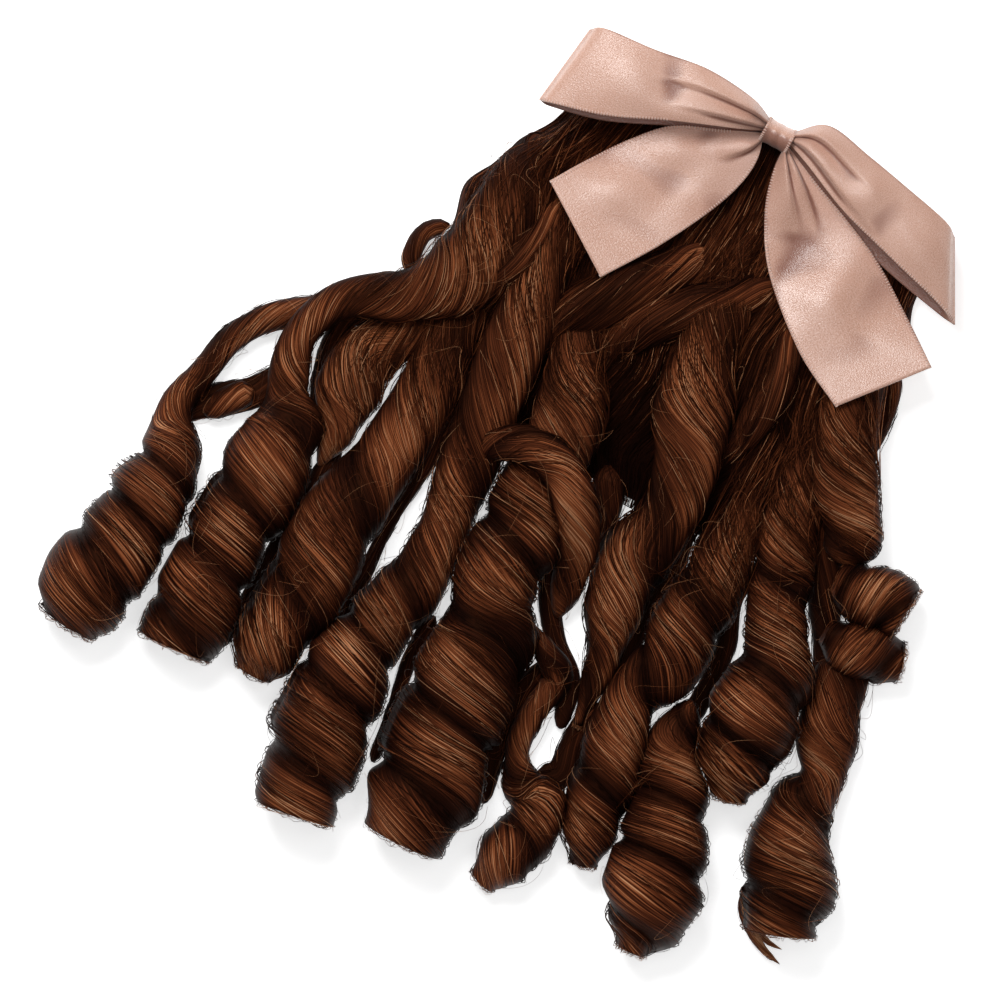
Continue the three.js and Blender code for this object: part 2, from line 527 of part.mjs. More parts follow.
function tailGeometry(rows, side) {
  const last = rows.length - 1;
  const at = (u, v) => {
    const row = last * u;
    const x = THREE.MathUtils.lerp(columnAt(rows, row, "innerX"), columnAt(rows, row, "outerX"), v);
    const y = THREE.MathUtils.lerp(columnAt(rows, row, "innerY"), columnAt(rows, row, "outerY"), v) * bowReach;
    const seat = Math.max(crownHigh(-y / hairLength) + clearance + ribbonThick, bowSeat);
    const pleat = (1 - Math.cos(4 * Math.PI * v)) * 0.5 * pleatHigh * Math.max(0.15, 1 - row / 3);
    return new THREE.Vector3(bowX(side, x), y, seat + columnAt(rows, row, "rise") * loopHigh + pleat);
  };
  return ribbonGeometry(at, 8, 9);
}

function knotGeometry() {
  const sides = 16;
  const rings = [-0.5, -0.42, 0, 0.42, 0.5].map((along) => {
    const full = Math.abs(along) > 0.45 ? 0.86 : 1;
    const ring = [];
    for (let k = 0; k < sides; k += 1) {
      const angle = (-2 * Math.PI * k) / sides;
      const y = 0.078 * bowReach + 0.5 * knotDeep * full * Math.cos(angle);
      const z = clipHigh + clearance + 0.5 * knotHigh + 0.5 * knotHigh * full * Math.sin(angle);
      ring.push(new THREE.Vector3(along * knotWide, y, z));
    }
    return ring;
  });
  const centre = new THREE.Vector3(-0.5 * knotWide, 0.078 * bowReach, clipHigh + clearance + 0.5 * knotHigh);
  return skinOf(rings, centre, centre.clone().setX(0.5 * knotWide));
}

function clipGeometry(grow) {
  const box = new THREE.BoxGeometry(clipLong + 2 * grow, clipDeep + 2 * grow, clipHigh + 2 * grow);
  box.translate(0, 0, 0.5 * clipHigh);
  box.deleteAttribute("normal");
  box.deleteAttribute("uv");
  return box;
}

function build() {
  const group = new THREE.Group();
  group.name = "ringlet_hairpiece";
  let crown = solidOf(crownGeometry()).subtract(solidOf(clipGeometry(clearance)));
  for (const rows of [...Object.values(ringlets), ...Object.values(locks)]) {
    crown = crown.subtract(solidOf(lockGeometry(rows, 10, clearance)));
  }
  group.add(meshOf("crown_hair", geometryOf(crown), brown));
  for (const [name, rows] of Object.entries(ringlets)) {
    group.add(meshOf(name, ringletGeometry(rows, 10), brown));
  }
  for (const [name, rows] of Object.entries(locks)) {
    group.add(meshOf(name, lockGeometry(rows, 8), brown));
  }
  group.add(meshOf("clip_plate", clipGeometry(0), black));
  group.add(meshOf("bow_loop_left", loopGeometry(loopLeft, -1), pink));
  group.add(meshOf("bow_loop_right", loopGeometry(loopRight, 1), pink));
  group.add(meshOf("bow_tail_left", tailGeometry(tailLeft, -1), pink));
  group.add(meshOf("bow_tail_right", tailGeometry(tailRight, 1), pink));
  group.add(meshOf("bow_knot", knotGeometry(), pink));
  return group;
}

export default build();
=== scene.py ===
"""A clip-in hairpiece of ringlets with a satin bow, lying flat.

Metres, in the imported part's frame: X runs along the bow, the hair hangs towards -Y,
Z is up, and the hairpiece lies on the plane Z = 0.
"""
import logging
import math
from dataclasses import dataclass, field
from enum import Enum

import bpy
import numpy as np
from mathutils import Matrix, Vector


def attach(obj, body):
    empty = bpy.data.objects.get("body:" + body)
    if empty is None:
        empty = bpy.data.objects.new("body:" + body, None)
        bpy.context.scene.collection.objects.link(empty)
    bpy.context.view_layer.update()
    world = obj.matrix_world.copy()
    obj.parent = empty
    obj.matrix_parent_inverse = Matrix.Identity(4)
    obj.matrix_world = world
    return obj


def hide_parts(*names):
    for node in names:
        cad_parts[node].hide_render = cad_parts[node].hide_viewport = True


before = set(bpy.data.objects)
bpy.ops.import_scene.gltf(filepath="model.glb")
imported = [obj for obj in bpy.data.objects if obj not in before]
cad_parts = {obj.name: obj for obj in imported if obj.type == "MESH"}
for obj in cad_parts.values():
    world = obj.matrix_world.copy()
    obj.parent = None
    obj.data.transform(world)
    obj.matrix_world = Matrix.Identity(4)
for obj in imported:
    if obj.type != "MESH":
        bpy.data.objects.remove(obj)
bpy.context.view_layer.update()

MM = 0.001
REACH_MM = 160  # clip's middle to the outer tips, the scale of across, under, wide and high
LENGTH_MM = 320  # clip to the lowest tip, the scale of down and pitch
REACH = REACH_MM * MM
LENGTH = LENGTH_MM * MM
ROOT_LONG = 26 * MM  # length over which a lock swells out of what carries it
ROOT_SHARE = 0.18  # the same for a short lock, as a share of its length
LINE_PLACES = 900  # places at which a lock's line is worked out
END_CLOSED = 0.96  # how far a lock's end closes, never to a point
TURN_RINGS = 15  # rings of the skin to a turn
RING_GAPS = (1.4 * MM, 3 * MM)  # least and most distance between two rings
CLOSING = 0.14  # share of a band that rises to meet the next one
LUMP = 0.06  # how much fatter or thinner than its neighbours a band is
LUMP_PACE = 2.4  # change of phase from one band to the next
OUT_OF_ROUND = 0.025  # how far a section is from round
CREST_PAINTED_HIGHLIGHT = 0.16  # painted highlight: how much lighter a band's middle is
PATCH_PAINTED_LIGHT = 0.24  # painted light and shade: how much it changes from patch to patch
SKIN_SHARE = 0.965  # the skin lies this far in, so that the fibres cover it
HOLLOW_SHARE = 0.97  # the same inside a hollow end
HOLLOW_PAINTED_SHADE = 0.35  # painted shade: how light the hair is left in there
UV_PACE = 14  # millimetres of UV to a radian of the winding
LONGEST_STEP = 0.3  # of a fibre, as a share of the lock's radius
LOOSE_POWER = 12  # the higher, the fewer fibres stand off a lock
UNDER_SHARE = 0.35  # fibres below this share of the half height hardly show
HALF_SPREAD = (0.7, 1.25)  # least and most of a fibre's usual half width
LEDGE_OUT = 0.055  # how far a coil's step stands out of its middle radius
FLOOR_GAP = 0.3 * MM  # fibres stay this far above the surface
WAVE_LONG = 13 * MM  # pace at which a lock's turns and its light change along it
FLYAWAY_GAP = 2.8 * MM  # one loose fibre to this much of a lock
FLYAWAY_POINTS = 14
FLYAWAYS_LEAST = 6
FLYAWAY_RUN = 14  # millimetres along the lock
FLYAWAY_BEND = 5  # how far it bows to one side of that
FLYAWAY_SHARE = 1.07  # where it starts, as a share of the radius
FLYAWAY_RISE = (0.2, 1.8)  # squared, in millimetres
FLYAWAY_HALF = (0.045, 0.08)  # millimetres
FLYAWAY_TONES = (0.15, 0.9)
FRAYS = 110  # cut ends round a hollow end's rim
FRAY_POINTS = 5
FRAY_OUT = (0.3, 2.2)  # millimetres
FRAY_HALF = (0.06, 0.14)
FRAY_TONES = (0.3, 1.0)
LEAD_POINTS = 10  # points of a feeding fibre before it joins its lock
FOLLOW_POINTS = 8  # and after
LEAD_START = (4, 30)  # millimetres up the crown from its lock's root
LEAVE_PACE = 24 * MM  # how strongly its curve leaves the crown
JOIN_PACE = 26 * MM  # and joins the winding
THIN_HALF = 3.1  # a strand that is nowhere wider than this is a wisp, in millimetres
OVER_HIGH = 15  # a strand that rises above this lies over the crown
CROWN_SEED, RINGLET_SEED, SHORT_LOCK_SEED, STRAND_SEED = 7, 11, 41, 71
RIBBON_WIDE = 40 * MM

Array = np.ndarray
Material = bpy.types.Material
Object = bpy.types.Object
Socket = bpy.types.NodeSocket
Tree = bpy.types.NodeTree

log = logging.getLogger("hairpiece")


def linear(code: str) -> tuple[float, float, float, float]:
    """Turn an sRGB hex colour such as #aabbcc to linear RGBA."""
    parts = [int(code[i : i + 2], 16) / 255 for i in (1, 3, 5)]
    red, green, blue = (p / 12.92 if p <= 0.04045 else ((p + 0.055) / 1.055) ** 2.4 for p in parts)
    return red, green, blue, 1.0


def add_node(tree: Tree, kind: str, inputs: dict | None = None, **settings: object) -> bpy.types.Node:
    """Add a node with its settings, and set or link its inputs.

    Args:
        tree: the tree that takes the node.
        kind: the node's type name.
        inputs: values, or sockets to link, by input name or place.
        settings: properties of the node itself.

    Returns:
        The new node.
    """
    node = tree.nodes.new(kind)
    for name, value in settings.items():
        setattr(node, name, value)
    for socket, value in (inputs or {}).items():
        if isinstance(value, Socket):
            tree.links.new(value, node.inputs[socket])
        else:
            node.inputs[socket].default_value = value
    return node


def new_material(name: str) -> tuple[Material, Tree]:
    """A material with an empty node tree, and that tree."""
    material = bpy.data.materials.new(name)
    material.use_nodes = True
    material.node_tree.nodes.clear()
    return material, material.node_tree


def add_ramp(tree: Tree, factor: Socket, stops: dict) -> Socket:
    """A colour ramp whose stops are given as place: hex colour."""
    ramp = add_node(tree, "ShaderNodeValToRGB", {0: factor})
    elements = ramp.color_ramp.elements
    elements.remove(elements[1])
    for place, code in stops.items():
        element = elements[0] if place == 0 else elements.new(place)
        element.position = place
        element.color = linear(code)
    return ramp.outputs[0]


def add_noise(tree: Tree, place: Socket, scale: float, detail: float) -> Socket:
    """A noise texture read at a place."""
    return add_node(tree, "ShaderNodeTexNoise", {0: place, "Scale": scale, "Detail": detail}).outputs[0]


def object_noise(tree: Tree, size: float, detail: float) -> Socket:
    """A noise texture of a real size on object coordinates."""
    place = add_node(tree, "ShaderNodeTexCoord")
    return add_noise(tree, place.outputs["Object"], 1 / size, detail)


def add_math(tree: Tree, operation: str, *values: Socket | float) -> Socket:
    """The result of one sum on two or three values."""
    return add_node(tree, "ShaderNodeMath", dict(enumerate(values)), operation=operation).outputs[0]


def add_bump(tree: Tree, height: Socket, distance: float, strength: float) -> Socket:
    """A normal bent by a height, whose full rise is a real distance."""
    inputs = {"Height": height, "Distance": distance, "Strength": strength}
    return add_node(tree, "ShaderNodeBump", inputs).outputs[0]


def add_tangent(tree: Tree, uv_name: str) -> Socket:
    """The direction in which a UV map runs."""
    return add_node(tree, "ShaderNodeTangent", direction_type="UV_MAP", uv_map=uv_name).outputs[0]


def add_surface(tree: Tree, inputs: dict) -> None:
    """Add the principled surface with its inputs, and the output that it feeds."""
    surface = add_node(tree, "ShaderNodeBsdfPrincipled", inputs)
    add_node(tree, "ShaderNodeOutputMaterial", {0: surface.outputs[0]})


def new_object(name: str, data: bpy.types.ID) -> Object:
    """An object of some data, linked to the scene."""
    made = bpy.data.objects.new(name, data)
    bpy.context.scene.collection.objects.link(made)
    return made


@dataclass(frozen=True)
class HairFinish:
    """Drawn synthetic fibre set in curls. It is glossy along narrow lines across the fibres, brown to
    copper where it is lit, and nearly black in its depths; the lit and dark parts are partly painted
    light and shade, through the tone attribute."""

    deep: str = "#0b0504"
    dark: str = "#2a120a"
    middle: str = "#5c2e1a"
    warm: str = "#935533"
    light: str = "#bf8c66"
    glint: str = "#b06a40"
    fibre: float = 0.42 * MM  # a real fibre is 0.07 mm, drawn coarser so that it shows
    clump: float = 3.5 * MM
    streak: float = 36 * MM  # length over which a fibre keeps its colour
    contrast: float = 5.4  # how much fibres differ in colour
    offset: float = -2.18
    clumping: float = 0.9  # how much clumps differ in colour
    roughness: float = 0.48

    def material(self) -> Material:
        """Build the fibre material from the piece's fibre UV map and its tone attribute, which carries
        painted shade and highlights as well as random tone.
        """
        material, tree = new_material("synthetic_hair_fibre")
        run = add_node(tree, "ShaderNodeUVMap", uv_map="fibre").outputs[0]
        scales = (1 / self.streak, 1 / self.fibre, 1), (0.5 / self.streak, 1 / self.clump, 1)
        places = [add_node(tree, "ShaderNodeMapping", {0: run, "Scale": scale}) for scale in scales]
        fine = add_noise(tree, places[0].outputs[0], 1.0, 4.0)
        clumps = add_noise(tree, places[1].outputs[0], 1.0, 2.0)
        streaked = add_math(tree, "MULTIPLY_ADD", fine, self.contrast, self.offset)
        mixed = add_math(tree, "MULTIPLY_ADD", clumps, self.clumping, streaked)
        tone = add_node(tree, "ShaderNodeAttribute", attribute_name="tone")
        toned = add_math(tree, "MULTIPLY", mixed, tone.outputs["Fac"])
        stops = {0: self.deep, 0.25: self.dark, 0.5: self.middle, 0.75: self.warm, 1: self.light}
        add_surface(
            tree,
            {
                "Base Color": add_ramp(tree, toned, stops),
                "Roughness": self.roughness,
                "IOR": 1.5,
                "Specular IOR Level": 0.14,
                "Specular Tint": linear(self.glint),
                "Anisotropic": 0.75,
                "Anisotropic Rotation": 0.25,
                "Tangent": add_tangent(tree, "fibre"),
                "Normal": add_bump(tree, fine, 0.35 * MM, 0.7),
            },
        )
        return material


@dataclass(frozen=True)
class SatinFinish:
    """Woven polyester satin ribbon. Long floats across the weave give a soft sheen in broad
    bands, over a fine grain."""

    # painted shade: the colour the ribbon darkens to in its folds and shaded parts
    fold: str = "#7d4a3a"
    shade: str = "#bd8f79"
    base: str = "#cfa28f"
    light: str = "#dcb6a5"
    grain: float = 0.55 * MM  # real threads are 0.1 mm apart, drawn coarser so that they show
    clouds: float = 60.0  # broad drifts of colour to a metre
    clouding: float = 0.3
    roughness: float = 0.25

    def material(self) -> Material:
        """Build the satin material from the ribbon's weave UV map and its tone attribute, which darkens
        it towards the fold colour as painted shade.
        """
        material, tree = new_material("woven_polyester_satin")
        weave = add_node(tree, "ShaderNodeUVMap", uv_map="weave").outputs[0]
        cloud = add_noise(tree, weave, self.clouds, 3.0)
        grain = add_noise(tree, weave, 1 / self.grain, 2.0)
        flecked = add_math(tree, "MULTIPLY_ADD", cloud, self.clouding, grain)
        colour = add_ramp(tree, flecked, {0.45: self.shade, 0.65: self.base, 0.85: self.light})
        # Painted shade: the tone mixes the colour towards the fold colour.
        hollow = add_node(tree, "ShaderNodeAttribute", attribute_name="tone").outputs["Fac"]
        inputs = {"Factor": hollow, 6: colour, 7: linear(self.fold)}
        folded = add_node(tree, "ShaderNodeMix", inputs, data_type="RGBA")
        add_surface(
            tree,
            {
                "Base Color": folded.outputs[2],
                "Roughness": self.roughness,
                "IOR": 1.5,
                "Specular IOR Level": 0.8,
                "Anisotropic": 0.4,
                "Tangent": add_tangent(tree, "weave"),
                "Sheen Weight": 0.2,
                "Sheen Roughness": 0.4,
                "Normal": add_bump(tree, grain, 0.22 * MM, 0.9),
            },
        )
        return material


@dataclass(frozen=True)
class ThreadFinish:
    """Twisted polyester thread of the ribbon's picot edge, paler and more matt than the satin."""

    base: str = "#dcc0b3"
    shade: str = "#a98071"
    twist: float = 0.3 * MM

    def material(self) -> Material:
        """Build the thread material on object coordinates."""
        material, tree = new_material("twisted_polyester_thread")
        noise = object_noise(tree, self.twist, 1.0)
        colour = add_ramp(tree, noise, {0: self.shade, 0.6: self.base})
        normal = add_bump(tree, noise, 0.1 * MM, 0.5)
        add_surface(tree, {"Base Color": colour, "Roughness": 0.6, "Normal": normal})
        return material


@dataclass(frozen=True)
class ClipFinish:
    """Stoved black enamel on a pressed steel clip: even, half gloss, with worn paler specks."""

    enamel: str = "#15110e"
    worn: str = "#3a332d"
    speck: float = 1.5 * MM

    def material(self) -> Material:
        """Build the enamel material on object coordinates."""
        material, tree = new_material("black_enamelled_steel")
        noise = object_noise(tree, self.speck, 4.0)
        colour = add_ramp(tree, noise, {0: self.enamel, 0.62: self.enamel, 0.8: self.worn})
        rough = add_node(tree, "ShaderNodeMapRange", {0: noise, 3: 0.25, 4: 0.5}).outputs[0]
        normal = add_bump(tree, noise, 0.05 * MM, 0.4)
        add_surface(tree, {"Base Color": colour, "Roughness": rough, "Normal": normal})
        return material


@dataclass(frozen=True)
class TableFinish:
    """Opal acrylic of a photographer's light table: matt, white and faintly lit from below."""

    white: str = "#fbfbfb"
    glow: float = 0.62
    tooth: float = 2 * MM

    def material(self) -> Material:
        """Build the acrylic material on object coordinates."""
        material, tree = new_material("opal_acrylic_table")
        white = linear(self.white)
        normal = add_bump(tree, object_noise(tree, self.tooth, 1.0), 0.02 * MM, 0.2)
        glow = {"Emission Color": white, "Emission Strength": self.glow}
        add_surface(tree, {"Base Color": white, "Roughness": 0.9, "Normal": normal, **glow})
        return material


@dataclass
class Shell:
    """Closed skins gathered into one mesh, with a UV pair for each face corner and a tone for
    each point."""

    points: list = field(default_factory=list)
    faces: list = field(default_factory=list)
    corners: list = field(default_factory=list)
    tones: list = field(default_factory=list)
    count: int = 0

    def add(self, points: Array, faces: Array, corners: Array, tones: Array) -> None:
        """Add a skin.

        Args:
            points: places, one row each.
            faces: point numbers, three or four to a row.
            corners: UV pairs shaped as the faces, with a last axis of two.
            tones: one value for each point.
        """
        self.points.append(points)
        self.faces.append(faces + self.count)
        self.corners.append(corners)
        self.tones.append(tones)
        self.count += len(points)

    def build(self, name: str, uv_name: str, material: Material) -> Object:
        """Make the object, linked to the scene, with one finish on every face."""
        points = np.vstack(self.points).astype(np.float32)
        sizes = np.concatenate([np.full(len(f), f.shape[1]) for f in self.faces])
        loops = np.concatenate([f.ravel() for f in self.faces]).astype(np.int32)
        mesh = bpy.data.meshes.new(name)
        mesh.vertices.add(len(points))
        mesh.vertices.foreach_set("co", points.ravel())
        mesh.loops.add(len(loops))
        mesh.loops.foreach_set("vertex_index", loops)
        mesh.polygons.add(len(sizes))
        starts = np.concatenate([[0], np.cumsum(sizes)[:-1]]).astype(np.int32)
        mesh.polygons.foreach_set("loop_start", starts)
        mesh.update(calc_edges=True)
        mesh.polygons.foreach_set("use_smooth", np.ones(len(sizes), bool))
        uvs = np.vstack([c.reshape(-1, 2) for c in self.corners]).astype(np.float32)
        mesh.uv_layers.new(name=uv_name).data.foreach_set("uv", uvs.ravel())
        tones = np.concatenate(self.tones).astype(np.float32)
        mesh.attributes.new("tone", "FLOAT", "POINT").data.foreach_set("value", tones)
        mesh.validate()
        mesh.materials.append(material)
        return new_object(name, mesh)


def unit(vectors: Array, least: float = 1e-9) -> Array:
    """Vectors made one long, along the last axis."""
    return vectors / np.maximum(np.linalg.norm(vectors, axis=-1, keepdims=True), least)


def normals_of(grid: Array) -> Array:
    """Unit normals of a grid of points."""
    return unit(np.cross(np.gradient(grid, axis=0), np.gradient(grid, axis=1)), 1e-12)


def quads_of(rows: int, columns: int, wrap: bool) -> Array:
    """Point numbers of a grid's quads, closed round its columns if wrap is set."""
    i, k = np.meshgrid(np.arange(rows - 1), np.arange(columns if wrap else columns - 1), indexing="ij")
    after = (k + 1) % columns
    a = i * columns
    return np.stack([a + k, a + columns + k, a + columns + after, a + after], -1).reshape(-1, 4)


def corner_pairs(values: Array, faces: Array) -> Array:
    """UV pairs of face corners from one pair for each point."""
    return values[faces.ravel()].reshape(*faces.shape, 2)


def add_fibres(shell: Shell, paths: Array, half: Array, tones: Array) -> None:
    """Add three-sided tubes that taper at both ends.

    Args:
        shell: takes the tubes.
        paths: centrelines, shaped fibres, points, 3.
        half: half width of each fibre.
        tones: tone of each fibre.
    """
    fibres, count, _ = paths.shape
    run = unit(np.gradient(paths, axis=1))
    side = unit(np.cross(run, np.array([0.05, 0.02, 1.0])))  # not quite upright, so never along a fibre
    up = np.cross(side, run)
    place = np.linspace(0, 1, count)
    taper = np.minimum(1, 0.25 + 6 * np.minimum(place, 1 - place))
    radius = half[:, None] * taper[None, :]
    angles = np.array([0.5, 0.5 + 4 / 3, 0.5 + 2 / 3]) * math.pi
    rings = [paths + radius[..., None] * (math.cos(a) * side + math.sin(a) * up) for a in angles]
    points = np.stack(rings, 2).reshape(-1, 3)
    points[:, 2] = np.maximum(points[:, 2], 0.5 * FLOOR_GAP)
    base = quads_of(count, 3, True)
    ends = np.array([[0, 1, 2], [count * 3 - 1, count * 3 - 2, count * 3 - 3]])
    shift = np.arange(fibres) * count * 3
    steps = np.linalg.norm(np.diff(paths, axis=1), axis=2)
    along = np.concatenate([np.zeros((fibres, 1)), np.cumsum(steps, 1)], 1)
    across = (np.arange(fibres) * 0.37 % 1.0)[:, None] * 40 * MM  # a line of the UV map to each fibre
    pairs = np.stack([along, np.broadcast_to(across, along.shape)], -1)
    pairs = np.repeat(pairs[:, :, None, :], 3, axis=2)
    pairs[..., 1] += np.array([0, 0.3, 0.6]) * MM
    pairs = pairs.reshape(-1, 2)
    quads = (base[None] + shift[:, None, None]).reshape(-1, 4)
    caps = (ends[None] + shift[:, None, None]).reshape(-1, 3)
    shell.add(points, quads, corner_pairs(pairs, quads), np.repeat(tones, count * 3))
    shell.faces.append(caps + shell.count - len(points))
    shell.corners.append(corner_pairs(pairs, caps))


def eased(values: Array, place: Array) -> Array:
    """Values between the rows of a table, eased at each row, at places counted in rows."""
    first = np.clip(np.floor(place).astype(int), 0, len(values) - 2)
    share = np.clip(place - first, 0, 1)
    return values[first] + (values[first + 1] - values[first]) * share * share * (3 - 2 * share)


def curve_through(points: Array, place: Array) -> Array:
    """Centripetal curve through points, at places counted in points."""
    held = np.vstack([2 * points[0] - points[1], points, 2 * points[-1] - points[-2]])
    first = np.minimum(np.floor(place).astype(int), len(points) - 2)
    t = (place - first)[:, None]
    before, start, end, after = (held[first + k] for k in range(4))
    lead_gap, gap, trail_gap = (
        np.sqrt(np.linalg.norm(b - a, axis=1))[:, None]
        for a, b in ((before, start), (start, end), (end, after))
    )
    lead = gap * ((start - before) / lead_gap - (end - before) / (lead_gap + gap) + (end - start) / gap)
    trail = gap * ((end - start) / gap - (after - start) / (gap + trail_gap) + (after - end) / trail_gap)
    square = 3 * (end - start) - 2 * lead - trail
    cube = 2 * (start - end) + lead + trail
    return start + lead * t + square * t**2 + cube * t**3


def smooth_wave(rng: np.random.Generator, shape: tuple, places: Array, turns: float) -> Array:
    """Slow random waves, one for each fibre, from about -1 to 1 along its places."""
    phase = rng.uniform(0, 2 * math.pi, (*shape, 2))
    rate = turns * rng.uniform(0.6, 1.4, (*shape, 2))
    first = np.sin(phase[..., :1] + rate[..., :1] * 2 * math.pi * places)
    return 0.6 * first + 0.4 * np.sin(phase[..., 1:] + 1.9 * rate[..., 1:] * 2 * math.pi * places)


def gap_at(lag: Array, start: float, wide: float) -> Array:
    """How far a place across a band has gone into the gap beside the band, from 0 to 1."""
    return np.clip(np.abs(2 * lag - 1) - start, 0, 1) / wide


@dataclass(frozen=True)
class Row:
    """One section of a lock: its place and half sizes as shares, and the length of a turn."""

    across: float
    down: float
    under: float
    wide: float
    high: float
    pitch: float


class End(Enum):
    """How a lock ends."""

    HOLLOW = "hollow"
    CLOSED = "closed"


@dataclass
class Lock:
    """A lock of hair wound round its own line: long turns where it hangs, and short ones where
    it is coiled."""

    name: str
    rows: list[Row]
    end: End = End.HOLLOW
    step: float = 0.09  # how far the radius falls across one band
    valley: float = 0.17  # how deep the gap between bands is
    tightest: float = 27 * MM  # least length of a turn
    uneven: float = 0.25  # how much that length varies
    tip_round: float = 5 * MM  # length over which a closed end is rounded
    bore: float = 0.42  # radius of a hollow end's bore, as a share
    bore_deep: float = 30 * MM
    sides: int = 40
    cover: float = 0.54  # fibres for each part of the skin, 1 hides it
    fibre_long: float = 64 * MM
    fibre_half: float = 0.17 * MM
    fibre_points: int = 11
    gap_painted_shade: float = 0.8  # painted shade: how much darker the hair is between bands
    feeders: int = 110  # fibres that join the lock from the crown
    tone: float = 1.0
    # The skin is darker than the fibres over it, as painted shade between them.
    skin_tone: float = 0.46
    cover_tone: float = 0.56
    feeder_tone: float = 0.34
    seed: int = 1

    def __post_init__(self) -> None:
        """Work out the lock's line, sections and turns at close places along it."""
        table = {key: np.array([getattr(row, key) for row in self.rows]) for key in Row.__annotations__}
        place = np.linspace(0, len(self.rows) - 1, LINE_PLACES)
        height = (table["under"] + table["high"] * (1 + LEDGE_OUT)) * REACH
        line = np.stack([table["across"] * REACH, -table["down"] * LENGTH, height], 1)
        self.centre = curve_through(line, place)
        steps = np.linalg.norm(np.diff(self.centre, axis=0), axis=1)
        self.gone = np.concatenate([[0], np.cumsum(steps)])
        varied = 1 + self.uneven * np.sin(self.gone / WAVE_LONG + self.seed)
        self.pitch = np.maximum(eased(table["pitch"], place) * LENGTH, self.tightest * varied)
        self.turned = np.concatenate([[0], np.cumsum(steps / self.pitch[1:])])
        self.run = unit(np.gradient(self.centre, axis=0))
        self.side = unit(np.stack([self.run[:, 1], -self.run[:, 0], np.zeros(len(place))], 1))
        self.up = np.cross(self.side, self.run)
        # The root swells out of what carries it, and a closed end is rounded.
        swell_long = min(ROOT_LONG, ROOT_SHARE * self.gone[-1])
        swell = np.sin(0.5 * math.pi * np.minimum(0.12 + self.gone / swell_long, 1))
        self.wide = eased(table["wide"], place) * REACH * (0.4 + 0.6 * swell)
        self.high = eased(table["high"], place) * REACH * swell
        rounding = np.minimum(self.gone / self.tip_round, 1)
        if self.end is End.CLOSED:
            rounding = np.minimum(rounding, (self.gone[-1] - self.gone) / self.tip_round)
        rounding = np.sqrt(1 - (1 - rounding) ** 2 * END_CLOSED)
        self.wide *= rounding
        self.high *= rounding
        self.rng = np.random.default_rng(self.seed)
        self.lump_phase = self.rng.uniform(0, 2 * math.pi, 4)

    def along(self, values: Array, gone: Array) -> Array:
        """Values kept along the line, read at distances from the root."""
        if values.ndim == 1:
            return np.interp(gone, self.gone, values)
        return np.stack([np.interp(gone, self.gone, column) for column in values.T], -1)

    def lag_at(self, angle: Array, gone: Array) -> tuple[Array, Array]:
        """Place across a band from 0 to 1, and the band's number."""
        phase = angle / (2 * math.pi) - self.along(self.turned, gone)
        return phase - np.floor(phase), np.floor(phase)

    def tight_at(self, gone: Array, short: float, least: float) -> Array:
        """How tight the turns are: 1 where they are no longer than short, and never under least."""
        return np.clip(short / self.along(self.pitch, gone), least, 1)

    def share_at(self, angle: Array, gone: Array) -> Array:
        """Radius as a share of the half size: stepped bands, each a little out of true.

        Args:
            angle: place round the section.
            gone: distance from the root.

        Returns:
            The share at each place.
        """
        lag, turn = self.lag_at(angle, gone)
        # Long turns have shallower gaps than short ones.
        tight = self.tight_at(gone, short=55 * MM, least=0.5)
        gap = gap_at(lag, start=0.55, wide=0.45)
        band = -self.step * lag - self.valley * gap**2 * (3 - 2 * gap) * tight
        # A band's last part rises to meet the next band, which is a little fatter or thinner.
        closing = np.clip((lag - (1 - CLOSING)) / CLOSING, 0, 1)
        after = np.sin(LUMP_PACE * (turn + 1) + self.lump_phase[0])
        lump = np.sin(LUMP_PACE * turn + self.lump_phase[0]) * (1 - 0.5 * closing) + 0.5 * closing * after
        oval = np.sin(2 * angle + 1.7 * turn + self.lump_phase[1])
        lump = LUMP * lump * tight + OUT_OF_ROUND * oval
        return 1 + LEDGE_OUT + band + self.step * closing * 0.5 + lump

    def shade_at(self, angle: Array, gone: Array) -> Array:
        """How light the hair is painted at each place: painted shade at the sides, where the lock lies in
        its own shade, and between the bands, and painted highlights along each band's middle and in
        patches.

        Args:
            angle: place round the section.
            gone: distance from the root.

        Returns:
            A share from about 0.1 to 1.
        """
        lag, _ = self.lag_at(angle, gone)
        # Painted shade: the gaps are darkest where turns are short, and the sides lie in the lock's own
        # shade; the crest and patches are painted highlights.
        tight = self.tight_at(gone, short=60 * MM, least=0.6)
        gap = gap_at(lag, start=0.42, wide=0.58)
        side = np.clip(0.2 + 0.86 * np.sin(angle), 0.28, 1)
        crest = 1 - CREST_PAINTED_HIGHLIGHT * np.cos(2 * math.pi * lag)
        along, round_it = gone / WAVE_LONG + self.lump_phase[2], 2 * angle + self.lump_phase[3]
        patch = 1 + PATCH_PAINTED_LIGHT * np.sin(along) * np.sin(round_it)
        return side * crest * (1 - self.gap_painted_shade * gap**2 * tight) * patch

    def place_at(self, angle: Array, gone: Array, share: Array, lift: Array) -> Array:
        """Places round the lock.

        Args:
            angle: place round the section.
            gone: distance from the root.
            share: radius as a share of the half sizes.
            lift: distance added outwards.

        Returns:
            Points, with a last axis of 3.
        """
        across = (np.cos(angle) * (self.along(self.wide, gone) * share + lift))[..., None]
        upward = (np.sin(angle) * (self.along(self.high, gone) * share + lift))[..., None]
        points = self.along(self.centre, gone) + across * self.along(self.side, gone)
        points = points + upward * self.along(self.up, gone)
        points[..., 2] = np.maximum(points[..., 2], FLOOR_GAP)
        return points

    def stations(self) -> Array:
        """Distances from the root at which the skin has a ring, closer where the turns are short."""
        found = [0.0]
        while found[-1] < self.gone[-1]:
            pitch = float(self.along(self.pitch, np.array([found[-1]]))[0])
            found.append(found[-1] + float(np.clip(pitch / TURN_RINGS, *RING_GAPS)))
        return np.array([*found[:-1], self.gone[-1]])

    def add_skin(self, shell: Shell) -> None:
        """Add the closed skin, with wound layers and a hollow at a hollow end."""
        stations = self.stations()
        end = stations[-1]
        rings = [(gone, 1.0, 0.0) for gone in stations]
        if self.end is End.HOLLOW:
